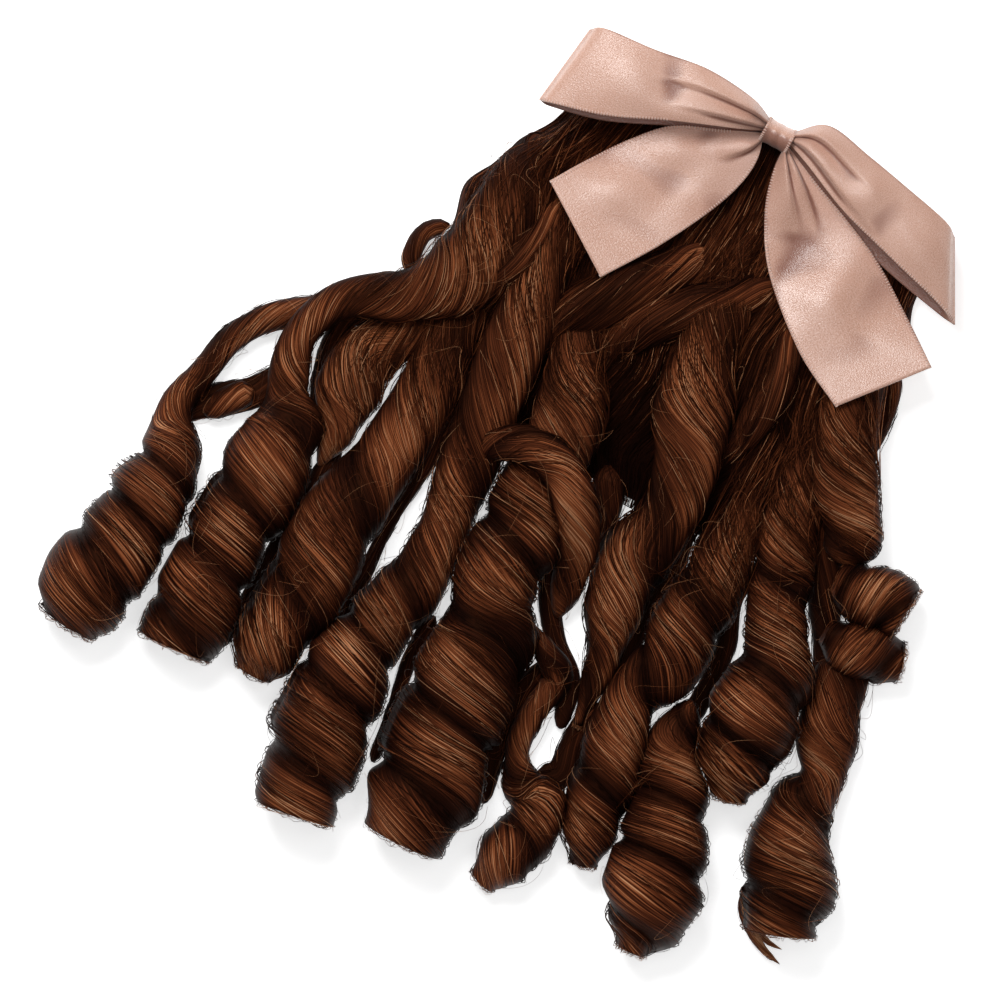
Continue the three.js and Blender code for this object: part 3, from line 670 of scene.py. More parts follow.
            # Each layer's radius as a share, and how far it stands out, in millimetres.
            layers = (0.86, -0.8), (0.74, 0.6), (0.6, -1), (self.bore, 0)
            rings += [(end, inner, out * MM) for inner, out in layers]
            rings += [(end - deep * self.bore_deep, self.bore, 0.0) for deep in (0.3, 0.65, 1.0)]
        gone = np.array([ring[0] for ring in rings])[:, None]
        inner = np.array([ring[1] for ring in rings])[:, None]
        out = np.array([ring[2] for ring in rings])[:, None, None]
        angle = np.linspace(0, 2 * math.pi, self.sides, endpoint=False)[None, :]
        gone_grid = np.broadcast_to(gone, (len(rings), self.sides))
        angle_grid = np.broadcast_to(angle, gone_grid.shape)
        outer = self.share_at(angle_grid, gone_grid) * SKIN_SHARE
        share = np.where(inner < 1, inner * HOLLOW_SHARE, outer)
        points = self.place_at(angle_grid, gone_grid, share, np.zeros(gone_grid.shape))
        points = points + out * self.along(self.run, gone_grid)
        tips = np.stack([points[0].mean(0), points[-1].mean(0)])
        count = len(rings) * self.sides
        quads = quads_of(len(rings), self.sides, True)
        # The UV map runs along the winding, so its seam lies between two bands.
        ring_no, side_no = quads // self.sides, quads % self.sides
        side_no = np.where((side_no == 0) & (side_no[:, :1] > 1), self.sides, side_no)
        turned = self.along(self.turned, gone[:, 0])[ring_no]
        phase = side_no / self.sides - turned
        lag = phase - np.floor(phase.mean(1, keepdims=True))
        around = 2 * math.pi * (turned + lag)
        wide = self.along(self.wide, gone[:, 0])[ring_no]
        pitch = self.along(self.pitch, gone[:, 0])[ring_no]
        band = 1 / np.sqrt(1 / pitch**2 + 1 / (2 * math.pi * wide) ** 2)
        depth = (1 - inner[:, 0])[ring_no] * wide
        pairs = np.stack([around * UV_PACE * MM, lag * band + depth], -1)
        tone = self.skin_tone * self.tone * self.shade_at(angle_grid, gone_grid)
        # Painted shade inside a hollow end.
        tone = tone * np.where(inner < 1, HOLLOW_PAINTED_SHADE, 1)
        tone = np.append(tone.ravel(), [0.1, 0.02])  # the last two are the middles of the ends, nearly black as painted shade
        shell.add(np.vstack([points.reshape(-1, 3), tips]), quads, pairs, tone)
        k = np.arange(self.sides)
        after = (k + 1) % self.sides
        last = (len(rings) - 1) * self.sides
        first_fan = np.stack([np.full(self.sides, count), k, after], 1)
        last_fan = np.stack([np.full(self.sides, count + 1), last + after, last + k], 1)
        fans = np.vstack([first_fan, last_fan])
        shell.faces.append(fans + shell.count - (count + 2))
        flat = np.zeros((len(fans), 3, 2))
        flat[:, 1, 0] = 1 * MM
        flat[:, 2, 1] = 1 * MM
        shell.corners.append(flat)

    def fibre_paths(self, start: Array, angle: Array, drift: Array, points: int) -> tuple:
        """Follow the winding from each start.

        Args:
            start: distance from the root of each fibre's start.
            angle: its place round the section.
            drift: how much faster or slower it advances than the bands.
            points: how many places each fibre has.

        Returns:
            Distances from the root and angles, both shaped fibres, points.
        """
        gone, angles = [start], [angle]
        long_step = self.fibre_long / (points - 1)
        for _ in range(points - 1):
            pitch = self.along(self.pitch, gone[-1])
            radius = 0.5 * (self.along(self.wide, gone[-1]) + self.along(self.high, gone[-1]))
            step = np.minimum(long_step, LONGEST_STEP * radius)
            turn = step / np.sqrt(radius**2 + (pitch / (2 * math.pi)) ** 2)
            ahead = np.minimum(gone[-1] + pitch * turn / (2 * math.pi) * (1 + drift), self.gone[-1])
            gone.append(ahead)
            angles.append(angles[-1] + turn)
        return np.stack(gone, 1), np.stack(angles, 1)

    def add_cover(self, shell: Shell) -> None:
        """Add the fibres that follow the winding over the whole skin."""
        skin = float(np.sum(math.pi * (self.wide + self.high)[1:] * np.diff(self.gone)))
        count = int(self.cover * skin / (self.fibre_long * 2 * self.fibre_half))
        weight = np.cumsum(self.wide + self.high)
        start = np.interp(self.rng.uniform(0, 1, count), weight / weight[-1], self.gone)
        start = np.maximum(start - 0.3 * self.fibre_long * self.rng.uniform(0, 1, count), 0)
        angle = self.rng.uniform(0, 2 * math.pi, count)
        coiled = self.tight_at(start, short=20 * MM, least=0)
        _, turn = self.lag_at(angle, start)
        drift = self.rng.normal(0, 1, count) * (0.05 + 0.12 * coiled)
        drift = drift + 0.2 * coiled * np.sin(1.9 * turn)
        gone, angles = self.fibre_paths(start, angle, drift, self.fibre_points)
        places = np.linspace(0, 1, self.fibre_points)[None, :]
        wave = smooth_wave(self.rng, (count,), places, 0.8)
        loose = self.rng.uniform(0, 1, count) ** LOOSE_POWER
        lift = (0.02 + 0.2 * self.rng.uniform(0, 1, count) + 1.2 * loose)[:, None] * MM
        lift = lift * (0.7 + 0.3 * wave)
        paths = self.place_at(angles, gone, self.share_at(angles, gone), lift)
        # Half of the fibres under the lock are left out, since they hardly show.
        low = paths[..., 2].mean(1) < UNDER_SHARE * self.along(self.high, start)
        kept = ~low | (self.rng.uniform(0, 1, count) < 0.5)
        middle = self.fibre_points // 2
        shade = self.shade_at(angles[:, middle], gone[:, middle])
        tones = self.cover_tone * self.tone * shade * np.exp(self.rng.normal(0, 0.4, count))
        half = self.fibre_half * self.rng.uniform(*HALF_SPREAD, count)
        add_fibres(shell, paths[kept], half[kept], tones[kept])

    def add_flyaways(self, shell: Shell) -> None:
        """Add loose fibres that stand off the lock."""
        count = max(FLYAWAYS_LEAST, int(self.gone[-1] / FLYAWAY_GAP))
        places = np.linspace(0, 1, FLYAWAY_POINTS)[None, :]
        start = (self.rng.uniform(0.02, 0.98, count) * self.gone[-1])[:, None]
        gone = start + self.rng.normal(0, FLYAWAY_RUN, count)[:, None] * MM * places
        gone = gone + self.rng.normal(0, FLYAWAY_BEND, count)[:, None] * MM * np.sin(math.pi * places)
        angle = self.rng.uniform(0.12, 0.88, count)[:, None] * math.pi
        angles = angle + self.rng.normal(0, 0.9, count)[:, None] * places
        angles = angles + self.rng.normal(0, 0.4, count)[:, None] * np.sin(math.pi * places)
        kept = (gone.min(1) > 0) & (gone.max(1) < self.gone[-1])
        rise = np.sin(math.pi * places) * self.rng.uniform(*FLYAWAY_RISE, count)[:, None] ** 2 * MM
        paths = self.place_at(angles, gone, np.full(gone.shape, FLYAWAY_SHARE), rise)
        half = self.rng.uniform(*FLYAWAY_HALF, count) * MM
        tones = self.rng.uniform(*FLYAWAY_TONES, count)
        add_fibres(shell, paths[kept], half[kept], tones[kept])

    def add_frays(self, shell: Shell) -> None:
        """Add the cut ends that stand a little out of a hollow end's rim."""
        angle = self.rng.uniform(0, 2 * math.pi, FRAYS)[:, None]
        places = np.linspace(0, 1, FRAY_POINTS)[None, :]
        angles = angle + self.rng.normal(0.5, 0.35, FRAYS)[:, None] * places
        end = np.full(angles.shape, self.gone[-1])
        layer = np.sqrt(self.rng.uniform(0.45, 1, FRAYS))[:, None]
        rim = self.place_at(angles, end, self.share_at(angles, end) * layer, np.zeros(angles.shape))
        out = self.rng.uniform(*FRAY_OUT, FRAYS)[:, None] * MM * np.sin(math.pi * places)
        paths = rim + out[..., None] * self.along(self.run, end)
        paths[..., 2] = np.maximum(paths[..., 2], FLOOR_GAP)
        half = self.rng.uniform(*FRAY_HALF, FRAYS) * MM
        add_fibres(shell, paths, half, self.rng.uniform(*FRAY_TONES, FRAYS))

    def add_feeders(self, shell: Shell, crown: "Crown") -> None:
        """Add fibres that leave the crown above the root and join the lock's own winding."""
        count = self.feeders
        start = self.rng.uniform(0.7, 2.2, count) * ROOT_LONG
        angle = self.rng.uniform(0.02, 0.98, count) * math.pi
        gone, angles = self.fibre_paths(start, angle, self.rng.normal(0, 0.08, count), FOLLOW_POINTS)
        lift = self.rng.uniform(0.1, 0.8, count)[:, None] * MM
        tail = self.place_at(angles, gone, self.share_at(angles, gone), lift)
        none = np.zeros(count)
        root = self.place_at(none, np.full(count, 0.5 * ROOT_LONG), none, none)
        first = root.copy()
        first[:, 0] += self.rng.normal(0, 1, count) * 0.5 * self.wide.max()
        first[:, 1] += self.rng.uniform(*LEAD_START, count) * MM
        first[:, 0] = crown.within(first)
        # Each lead is a cubic curve that leaves the crown downwards and joins the lock's winding.
        leave = np.stack([0.3 * (root[:, 0] - first[:, 0]), np.full(count, -LEAVE_PACE), none], 1)
        join = tail[:, 1] - tail[:, 0]
        join *= JOIN_PACE / np.maximum(np.linalg.norm(join, axis=1, keepdims=True), 1e-9)
        t = np.linspace(0, 1, LEAD_POINTS, endpoint=False)[None, :, None]
        lead = (1 + 2 * t) * (1 - t) ** 2 * first[:, None] + t * (1 - t) ** 2 * leave[:, None]
        lead = lead + t**2 * (3 - 2 * t) * tail[:, :1] - t**2 * (1 - t) * join[:, None]
        lead = crown.over(lead, 0.4 * MM)
        tones = self.feeder_tone * self.tone * np.exp(self.rng.normal(0, 0.3, count))
        half = self.fibre_half * self.rng.uniform(0.6, 1.1, count)
        add_fibres(shell, np.concatenate([lead, tail], 1), half, tones)

    def add_to(self, shell: Shell) -> None:
        """Add the skin, the fibres over it and the loose ones."""
        self.add_skin(shell)
        self.add_cover(shell)
        self.add_flyaways(shell)
        if self.end is End.HOLLOW:
            self.add_frays(shell)

    def build(self, material: Material, crown: "Crown | None" = None) -> Object:
        """Make the lock as one piece that stands for its CAD node, fed by the crown if it is led in."""
        shell = Shell()
        self.add_to(shell)
        if crown:
            self.add_feeders(shell, crown)
        piece = shell.build(f"{self.name}_fibres", "fibre", material)
        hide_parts(self.name)
        return piece


def led_in(rows: list[Row], back: float, aside: float) -> list[Row]:
    """Rows with one more before the root, further up and aside in the crown, so that the lock
    rises out of it."""
    root = rows[0]
    across, down = root.across + aside, root.down - back
    return [Row(across, down, 0.02, root.wide * 0.95, root.high * 0.5, root.pitch), *rows]


def strand_lock(strand: list, seed: int) -> Lock:
    """A loose strand as a lock that hardly turns.

    Args:
        strand: its places in millimetres.
        seed: start of its random draws.

    Returns:
        The lock. It is light if it is a thin wisp, and dark if it lies deep.
    """
    rows = []
    for x, y, high, half in strand:
        thick = min(half, high) * 0.8 / REACH_MM
        values = x / REACH_MM, -y / LENGTH_MM, high / REACH_MM - thick, half / REACH_MM, thick, 0.6
        rows.append(Row(*values))
    thin = max(place[3] for place in strand) < THIN_HALF
    over = max(place[2] for place in strand) > OVER_HIGH
    # A deep strand is darkened as painted shade.
    tone = 3.0 if thin else 1.0 if over else 0.6
    cover = 1.1 if over or thin else 0.75
    plain = {"sides": 16, "step": 0, "valley": 0}
    return Lock("strand", rows, End.CLOSED, tone=tone, cover=cover, seed=seed, **plain)


def named_locks() -> list[Lock]:
    """The ringlets and the short locks, led in from the crown where they rise out of it."""
    locks = []
    closed = {"end": End.CLOSED, "tone": 1.2}
    for tables, settings, seed in ((RINGLETS, {}, RINGLET_SEED), (SHORT_LOCKS, closed, SHORT_LOCK_SEED)):
        for number, (name, table) in enumerate(tables.items()):
            rows = [Row(*values) for values in table]
            rows = led_in(rows, *LEADS[name]) if name in LEADS else rows
            tightest, gap_painted_shade = TURNS.get(name, USUAL_TURN)
            turned = {"tightest": tightest * MM, "gap_painted_shade": gap_painted_shade, "seed": seed + number}
            locks.append(Lock(name, rows, **turned, **settings))
    return locks


RINGLETS = {  # the values of each Row
    "ringlet_far_left": [
        (-0.52, 0.345, 0.01, 0.044, 0.028, 0.25), (-0.69, 0.4, 0.004, 0.045, 0.03, 0.25),
        (-0.8, 0.436, 0.004, 0.04, 0.032, 0.25), (-0.88, 0.463, 0.004, 0.036, 0.032, 0.25),
        (-0.945, 0.51, 0.01, 0.036, 0.034, 0.25), (-0.965, 0.56, 0.01, 0.034, 0.034, 0.25),
        (-0.985, 0.618, 0.01, 0.044, 0.036, 0.2), (-0.945, 0.672, 0.005, 0.075, 0.065, 0.1),
        (-0.94, 0.725, 0, 0.104, 0.094, 0.038), (-0.947, 0.787, 0, 0.115, 0.104, 0.036),
        (-0.965, 0.845, 0, 0.12, 0.11, 0.036), (-0.972, 0.885, 0, 0.106, 0.1, 0.036),
        (-0.976, 0.91, 0.02, 0.078, 0.075, 0.036),
    ],
    "ringlet_left": [
        (-0.5, 0.21, 0.075, 0.085, 0.045, 0.28), (-0.515, 0.306, 0.07, 0.104, 0.056, 0.28),
        (-0.612, 0.362, 0.075, 0.07, 0.042, 0.25), (-0.74, 0.403, 0.08, 0.05, 0.035, 0.25),
        (-0.797, 0.465, 0.075, 0.044, 0.035, 0.25), (-0.77, 0.53, 0.035, 0.052, 0.042, 0.18),
        (-0.724, 0.58, 0.005, 0.096, 0.08, 0.05), (-0.722, 0.64, 0, 0.108, 0.098, 0.036),
        (-0.722, 0.734, 0, 0.108, 0.1, 0.036), (-0.718, 0.819, 0, 0.108, 0.1, 0.036),
        (-0.71, 0.875, 0, 0.1, 0.095, 0.036),
    ],
    "ringlet_left_inner": [
        (-0.47, 0.37, 0.035, 0.06, 0.042, 0.3), (-0.46, 0.44, 0.02, 0.08, 0.047, 0.3),
        (-0.468, 0.516, 0.01, 0.08, 0.055, 0.25), (-0.49, 0.587, 0.005, 0.09, 0.078, 0.12),
        (-0.502, 0.645, 0, 0.101, 0.1, 0.042), (-0.504, 0.725, 0, 0.103, 0.102, 0.036),
        (-0.508, 0.79, 0, 0.096, 0.098, 0.036), (-0.512, 0.832, 0, 0.085, 0.09, 0.036),
        (-0.514, 0.858, 0.03, 0.05, 0.055, 0.036),
    ],
    "ringlet_left_low": [
        (-0.345, 0.235, 0.08, 0.06, 0.042, 0.3), (-0.328, 0.344, 0.065, 0.078, 0.05, 0.3),
        (-0.312, 0.437, 0.05, 0.076, 0.05, 0.3), (-0.29, 0.516, 0.02, 0.074, 0.05, 0.25),
        (-0.266, 0.6, 0.005, 0.064, 0.05, 0.2), (-0.28, 0.69, 0.005, 0.086, 0.07, 0.11),
        (-0.304, 0.755, 0, 0.092, 0.088, 0.05), (-0.316, 0.825, 0, 0.112, 0.104, 0.036),
        (-0.294, 0.9, 0, 0.126, 0.112, 0.036), (-0.268, 0.985, 0, 0.111, 0.104, 0.036),
    ],
    "ringlet_middle": [
        (-0.185, 0.315, 0.07, 0.064, 0.042, 0.25), (-0.128, 0.4, 0.055, 0.088, 0.052, 0.22),
        (-0.122, 0.465, 0.03, 0.09, 0.062, 0.12), (-0.106, 0.525, 0.01, 0.1, 0.085, 0.06),
        (-0.1, 0.581, 0, 0.114, 0.108, 0.038), (-0.09, 0.64, 0, 0.108, 0.104, 0.038),
        (-0.05, 0.694, 0, 0.13, 0.108, 0.04), (-0.047, 0.75, 0, 0.132, 0.11, 0.04),
        (-0.038, 0.819, 0, 0.136, 0.112, 0.04), (-0.006, 0.89, 0, 0.146, 0.114, 0.04),
        (0, 0.952, 0, 0.1, 0.1, 0.04),
    ],
    "ringlet_middle_right": [
        (0.085, 0.225, 0.08, 0.07, 0.045, 0.3), (0.131, 0.319, 0.07, 0.096, 0.052, 0.3),
        (0.178, 0.387, 0.06, 0.08, 0.05, 0.28), (0.196, 0.455, 0.04, 0.07, 0.05, 0.25),
        (0.175, 0.518, 0.02, 0.09, 0.055, 0.25), (0.19, 0.575, 0.01, 0.078, 0.055, 0.25),
        (0.22, 0.64, 0.005, 0.048, 0.045, 0.2), (0.246, 0.728, 0.005, 0.016, 0.025, 0.2),
    ],
    "ringlet_tip_curl": [
        (0.03, 0.65, 0.04, 0.026, 0.022, 0.2), (0.09, 0.668, 0.05, 0.034, 0.028, 0.2),
        (0.148, 0.69, 0.01, 0.042, 0.035, 0.2), (0.135, 0.745, 0.01, 0.034, 0.035, 0.2),
        (0.145, 0.795, 0.01, 0.032, 0.035, 0.15), (0.2, 0.828, 0, 0.053, 0.045, 0.08),
        (0.25, 0.832, 0, 0.068, 0.06, 0.06), (0.256, 0.87, 0, 0.074, 0.068, 0.06),
        (0.244, 0.91, 0, 0.08, 0.07, 0.06), (0.218, 0.95, 0, 0.042, 0.04, 0.06),
    ],
    "ringlet_right_inner": [
        (0.368, 0.42, 0.035, 0.055, 0.05, 0.14), (0.365, 0.48, 0.01, 0.078, 0.08, 0.05),
        (0.368, 0.556, 0, 0.092, 0.092, 0.045), (0.368, 0.612, 0, 0.09, 0.09, 0.045),
        (0.336, 0.664, 0, 0.068, 0.062, 0.06), (0.342, 0.719, 0, 0.076, 0.07, 0.036),
        (0.366, 0.781, 0, 0.083, 0.078, 0.036), (0.394, 0.837, 0, 0.073, 0.07, 0.036),
        (0.412, 0.874, 0.01, 0.04, 0.045, 0.036),
    ],
    "ringlet_right_low": [
        (0.459, 0.637, 0.05, 0.04, 0.05, 0.08), (0.476, 0.7, 0, 0.07, 0.06, 0.05),
        (0.525, 0.757, 0, 0.098, 0.082, 0.038), (0.568, 0.815, 0, 0.118, 0.1, 0.038),
        (0.596, 0.865, 0, 0.12, 0.104, 0.038), (0.616, 0.91, 0, 0.09, 0.085, 0.038),
        (0.62, 0.94, 0.03, 0.044, 0.05, 0.038),
    ],
    "ringlet_right": [
        (0.448, 0.335, 0.045, 0.058, 0.04, 0.2), (0.482, 0.412, 0.045, 0.076, 0.05, 0.16),
        (0.525, 0.469, 0.025, 0.082, 0.06, 0.07), (0.57, 0.519, 0.01, 0.08, 0.075, 0.05),
        (0.606, 0.569, 0, 0.11, 0.1, 0.038), (0.612, 0.625, 0, 0.118, 0.108, 0.038),
        (0.63, 0.678, 0, 0.104, 0.1, 0.038), (0.645, 0.718, 0.02, 0.055, 0.06, 0.038),
    ],
    "ringlet_far_right": [
        (0.72, 0.475, 0.0, 0.04, 0.02, 0.2), (0.758, 0.5215, 0.004, 0.07, 0.04, 0.2),
        (0.795, 0.594, 0.005, 0.078, 0.046, 0.22), (0.828, 0.645, 0.005, 0.056, 0.05, 0.12),
        (0.818, 0.69, 0, 0.08, 0.07, 0.06), (0.84, 0.735, 0, 0.104, 0.096, 0.036),
        (0.884, 0.785, 0, 0.118, 0.105, 0.036), (0.92, 0.834, 0, 0.098, 0.095, 0.036),
    ],
    "roll_right_upper": [
        (0.635, 0.44, 0.02, 0.05, 0.05, 0.06), (0.7, 0.426, 0.015, 0.078, 0.07, 0.05),
        (0.76, 0.42, 0.015, 0.084, 0.074, 0.05), (0.82, 0.422, 0.02, 0.08, 0.072, 0.05),
    ],
    "roll_right_lower": [
        (0.668, 0.5, 0.01, 0.042, 0.042, 0.06), (0.73, 0.4895, 0.005, 0.066, 0.062, 0.05),
        (0.8, 0.4855, 0.005, 0.07, 0.066, 0.05), (0.866, 0.476, 0.01, 0.052, 0.054, 0.05),
    ],
}

SHORT_LOCKS = {  # the values of each Row
    "lock_far_right": [
        (0.47, 0.235, 0.075, 0.075, 0.042, 0.25), (0.54, 0.312, 0.07, 0.084, 0.048, 0.2),
        (0.622, 0.37, 0.055, 0.075, 0.048, 0.16), (0.659, 0.399, 0.05, 0.05, 0.03, 0.14),
    ],
    "lock_left_inner": [
        (-0.565, 0.4, 0.05, 0.05, 0.025, 0.3), (-0.628, 0.455, 0.02, 0.08, 0.04, 0.3),
        (-0.632, 0.5, 0.012, 0.082, 0.05, 0.3), (-0.612, 0.55, 0.012, 0.045, 0.04, 0.3),
        (-0.61, 0.6, 0.004, 0.012, 0.02, 0.3),
    ],
    "lock_cross": [
        (-0.84, 0.552, 0.015, 0.038, 0.028, 0.3), (-0.88, 0.578, 0.01, 0.038, 0.028, 0.3),
        (-0.918, 0.608, 0.01, 0.028, 0.024, 0.3),
    ],
    "lock_arch": [
        (-0.29, 0.5, 0.04, 0.03, 0.018, 0.25), (-0.25, 0.475, 0.12, 0.04, 0.02, 0.25),
        (-0.18, 0.457, 0.165, 0.048, 0.022, 0.25), (-0.09, 0.46, 0.165, 0.054, 0.028, 0.25),
        (-0.012, 0.492, 0.152, 0.058, 0.03, 0.25), (0.034, 0.53, 0.09, 0.056, 0.03, 0.25),
        (0.06, 0.58, 0.03, 0.044, 0.03, 0.25), (0.078, 0.625, 0.01, 0.022, 0.024, 0.25),
    ],
    "lock_side_left": [
        (-0.606, 0.262, 0.01, 0.022, 0.02, 0.3), (-0.65, 0.285, 0.01, 0.024, 0.022, 0.3),
        (-0.652, 0.316, 0.01, 0.024, 0.022, 0.3), (-0.632, 0.34, 0.01, 0.018, 0.02, 0.3),
    ],
    "lock_side_right": [
        (0.5, 0.15, 0.02, 0.018, 0.018, 0.3), (0.543, 0.19, 0.01, 0.022, 0.02, 0.3),
        (0.558, 0.24, 0.01, 0.022, 0.02, 0.3), (0.56, 0.28, 0.02, 0.018, 0.018, 0.3),
    ],
}


USUAL_TURN = (27, 0.8)
TURNS = {  # least length of a turn in millimetres, and how much painted shade darkens the hair between bands
    "ringlet_far_left": (25, 0.75),
    "ringlet_left": (31, 0.7),
    "ringlet_left_inner": (52, 0.8),
    "ringlet_left_low": (27, 0.7),
    "ringlet_middle": (36, 0.9),
    "ringlet_middle_right": (60, 0.9),
    "ringlet_tip_curl": (34, 0.8),
    "ringlet_right_inner": (44, 0.9),
    "ringlet_right_low": (29, 0.75),
    "ringlet_right": (33, 0.9),
    "ringlet_far_right": (38, 0.75),
}

STRANDS = [  # millimetres: across, down, height of the middle and half width
    [
        (-62, -140, 9, 4), (-61, -165, 5, 3.5), (-63, -200, 3, 2.5), (-62, -225, 3, 3),
        (-64, -250, 2, 2.5),
    ],
    [(-112, -128, 8, 4), (-116, -145, 5, 4), (-113, -160, 3, 4), (-106, -176, 3, 4)],
    [
        (-124, -160, 4, 5), (-132, -176, 3, 6), (-143, -186, 3, 6.5), (-153, -194, 3, 6),
        (-160, -204, 3, 4),
    ],
    [(-94, -180, 4, 4), (-97, -205, 3, 3), (-98, -240, 3, 2.8), (-98, -272, 3, 2.2)],
    [(-30, -222, 4, 4), (-31, -240, 3, 3), (-27, -265, 3, 2.5), (-25, -284, 3, 2.5)],
    [(2, -138, 7, 6), (8, -150, 5, 6.5), (13, -163, 3, 4), (14, -178, 3, 2)],
    [(-2, -170, 6, 4), (5, -192, 3, 4.5), (16, -208, 3, 4), (28, -220, 3, 5), (34, -238, 3, 3)],
    [(22, -214, 4, 5), (14, -232, 3, 5), (16, -262, 3, 4.5), (21, -278, 3, 3)],
    [(42, -222, 5, 5), (41, -240, 3, 5), (42, -254, 3, 6), (34, -258, 2.5, 5)],
    [(40, -140, 7, 4), (44, -165, 3, 4), (43, -195, 3, 4), (46, -220, 3, 3)],
    [(74, -142, 7, 3), (71, -160, 4, 2.5), (76, -180, 3, 4), (77, -205, 3, 4), (73, -225, 3, 3)],
    [(86, -112, 9, 6), (94, -130, 6, 7.5), (102, -146, 5, 6.5), (110, -160, 4, 5), (114, -174, 3, 2.5)],
    [
        (-2, -42, 10, 5), (-10, -57, 16, 8), (-22, -73, 19, 10), (-34, -88, 19, 10), (-44, -101, 14, 8),
        (-49, -116, 6, 5),
    ],
    [
        (30, -40, 10, 5), (17, -56, 15.5, 8), (2, -70, 18, 9.5), (-12, -84, 17.5, 9.5),
        (-20, -99, 12, 7), (-23, -114, 5, 5),
    ],
    [(38, -52, 13, 3.5), (44, -70, 19, 6), (45, -90, 19, 7), (42, -108, 14, 5), (36, -122, 6, 4)],
    [
        (-64, -52, 13, 4), (-63, -68, 19, 6), (-67, -84, 22, 7), (-76, -98, 21, 6), (-86, -110, 15, 5),
        (-92, -124, 7, 4),
    ],
    [
        (126, -258, 11, 1.6), (131, -267, 10, 2.6), (138, -273, 7, 2.3), (145, -277, 4, 1.5),
        (153, -279, 3, 0.5),
    ],
    [(133, -266, 7, 1.8), (138, -270.5, 6, 1.6), (145, -273.5, 4, 1.1), (151, -273.5, 3, 0.5)],
]


LEADS = {  # how far a lock is led in up the crown and aside, as shares
    "ringlet_left": (0.1, 0.01),
    "ringlet_left_low": (0.1, 0.02),
    "ringlet_left_inner": (0.08, 0.02),
    "ringlet_middle": (0.09, 0.02),
    "ringlet_middle_right": (0.1, -0.02),
    "ringlet_right": (0.08, -0.03),
    "ringlet_right_inner": (0.08, 0.0),
    "lock_far_right": (0.08, -0.03),
    "lock_left_inner": (0.08, 0.03),
}


@dataclass(frozen=True)
class CrownRow:
    """One line across the crown: its place down, its two edges and its height, as shares."""

    down: float
    left: float
    right: float
    high: float


CROWN = [
    (-0.009, -0.42, 0.42, 0.08), (0.03, -0.45, 0.45, 0.082), (0.075, -0.487, 0.487, 0.085),
    (0.147, -0.56, 0.53, 0.11), (0.212, -0.62, 0.55, 0.12), (0.262, -0.6, 0.56, 0.12),
    (0.312, -0.56, 0.57, 0.11), (0.36, -0.56, 0.54, 0.1), (0.41, -0.555, 0.48, 0.075),
    (0.455, -0.36, 0.39, 0.04),
]


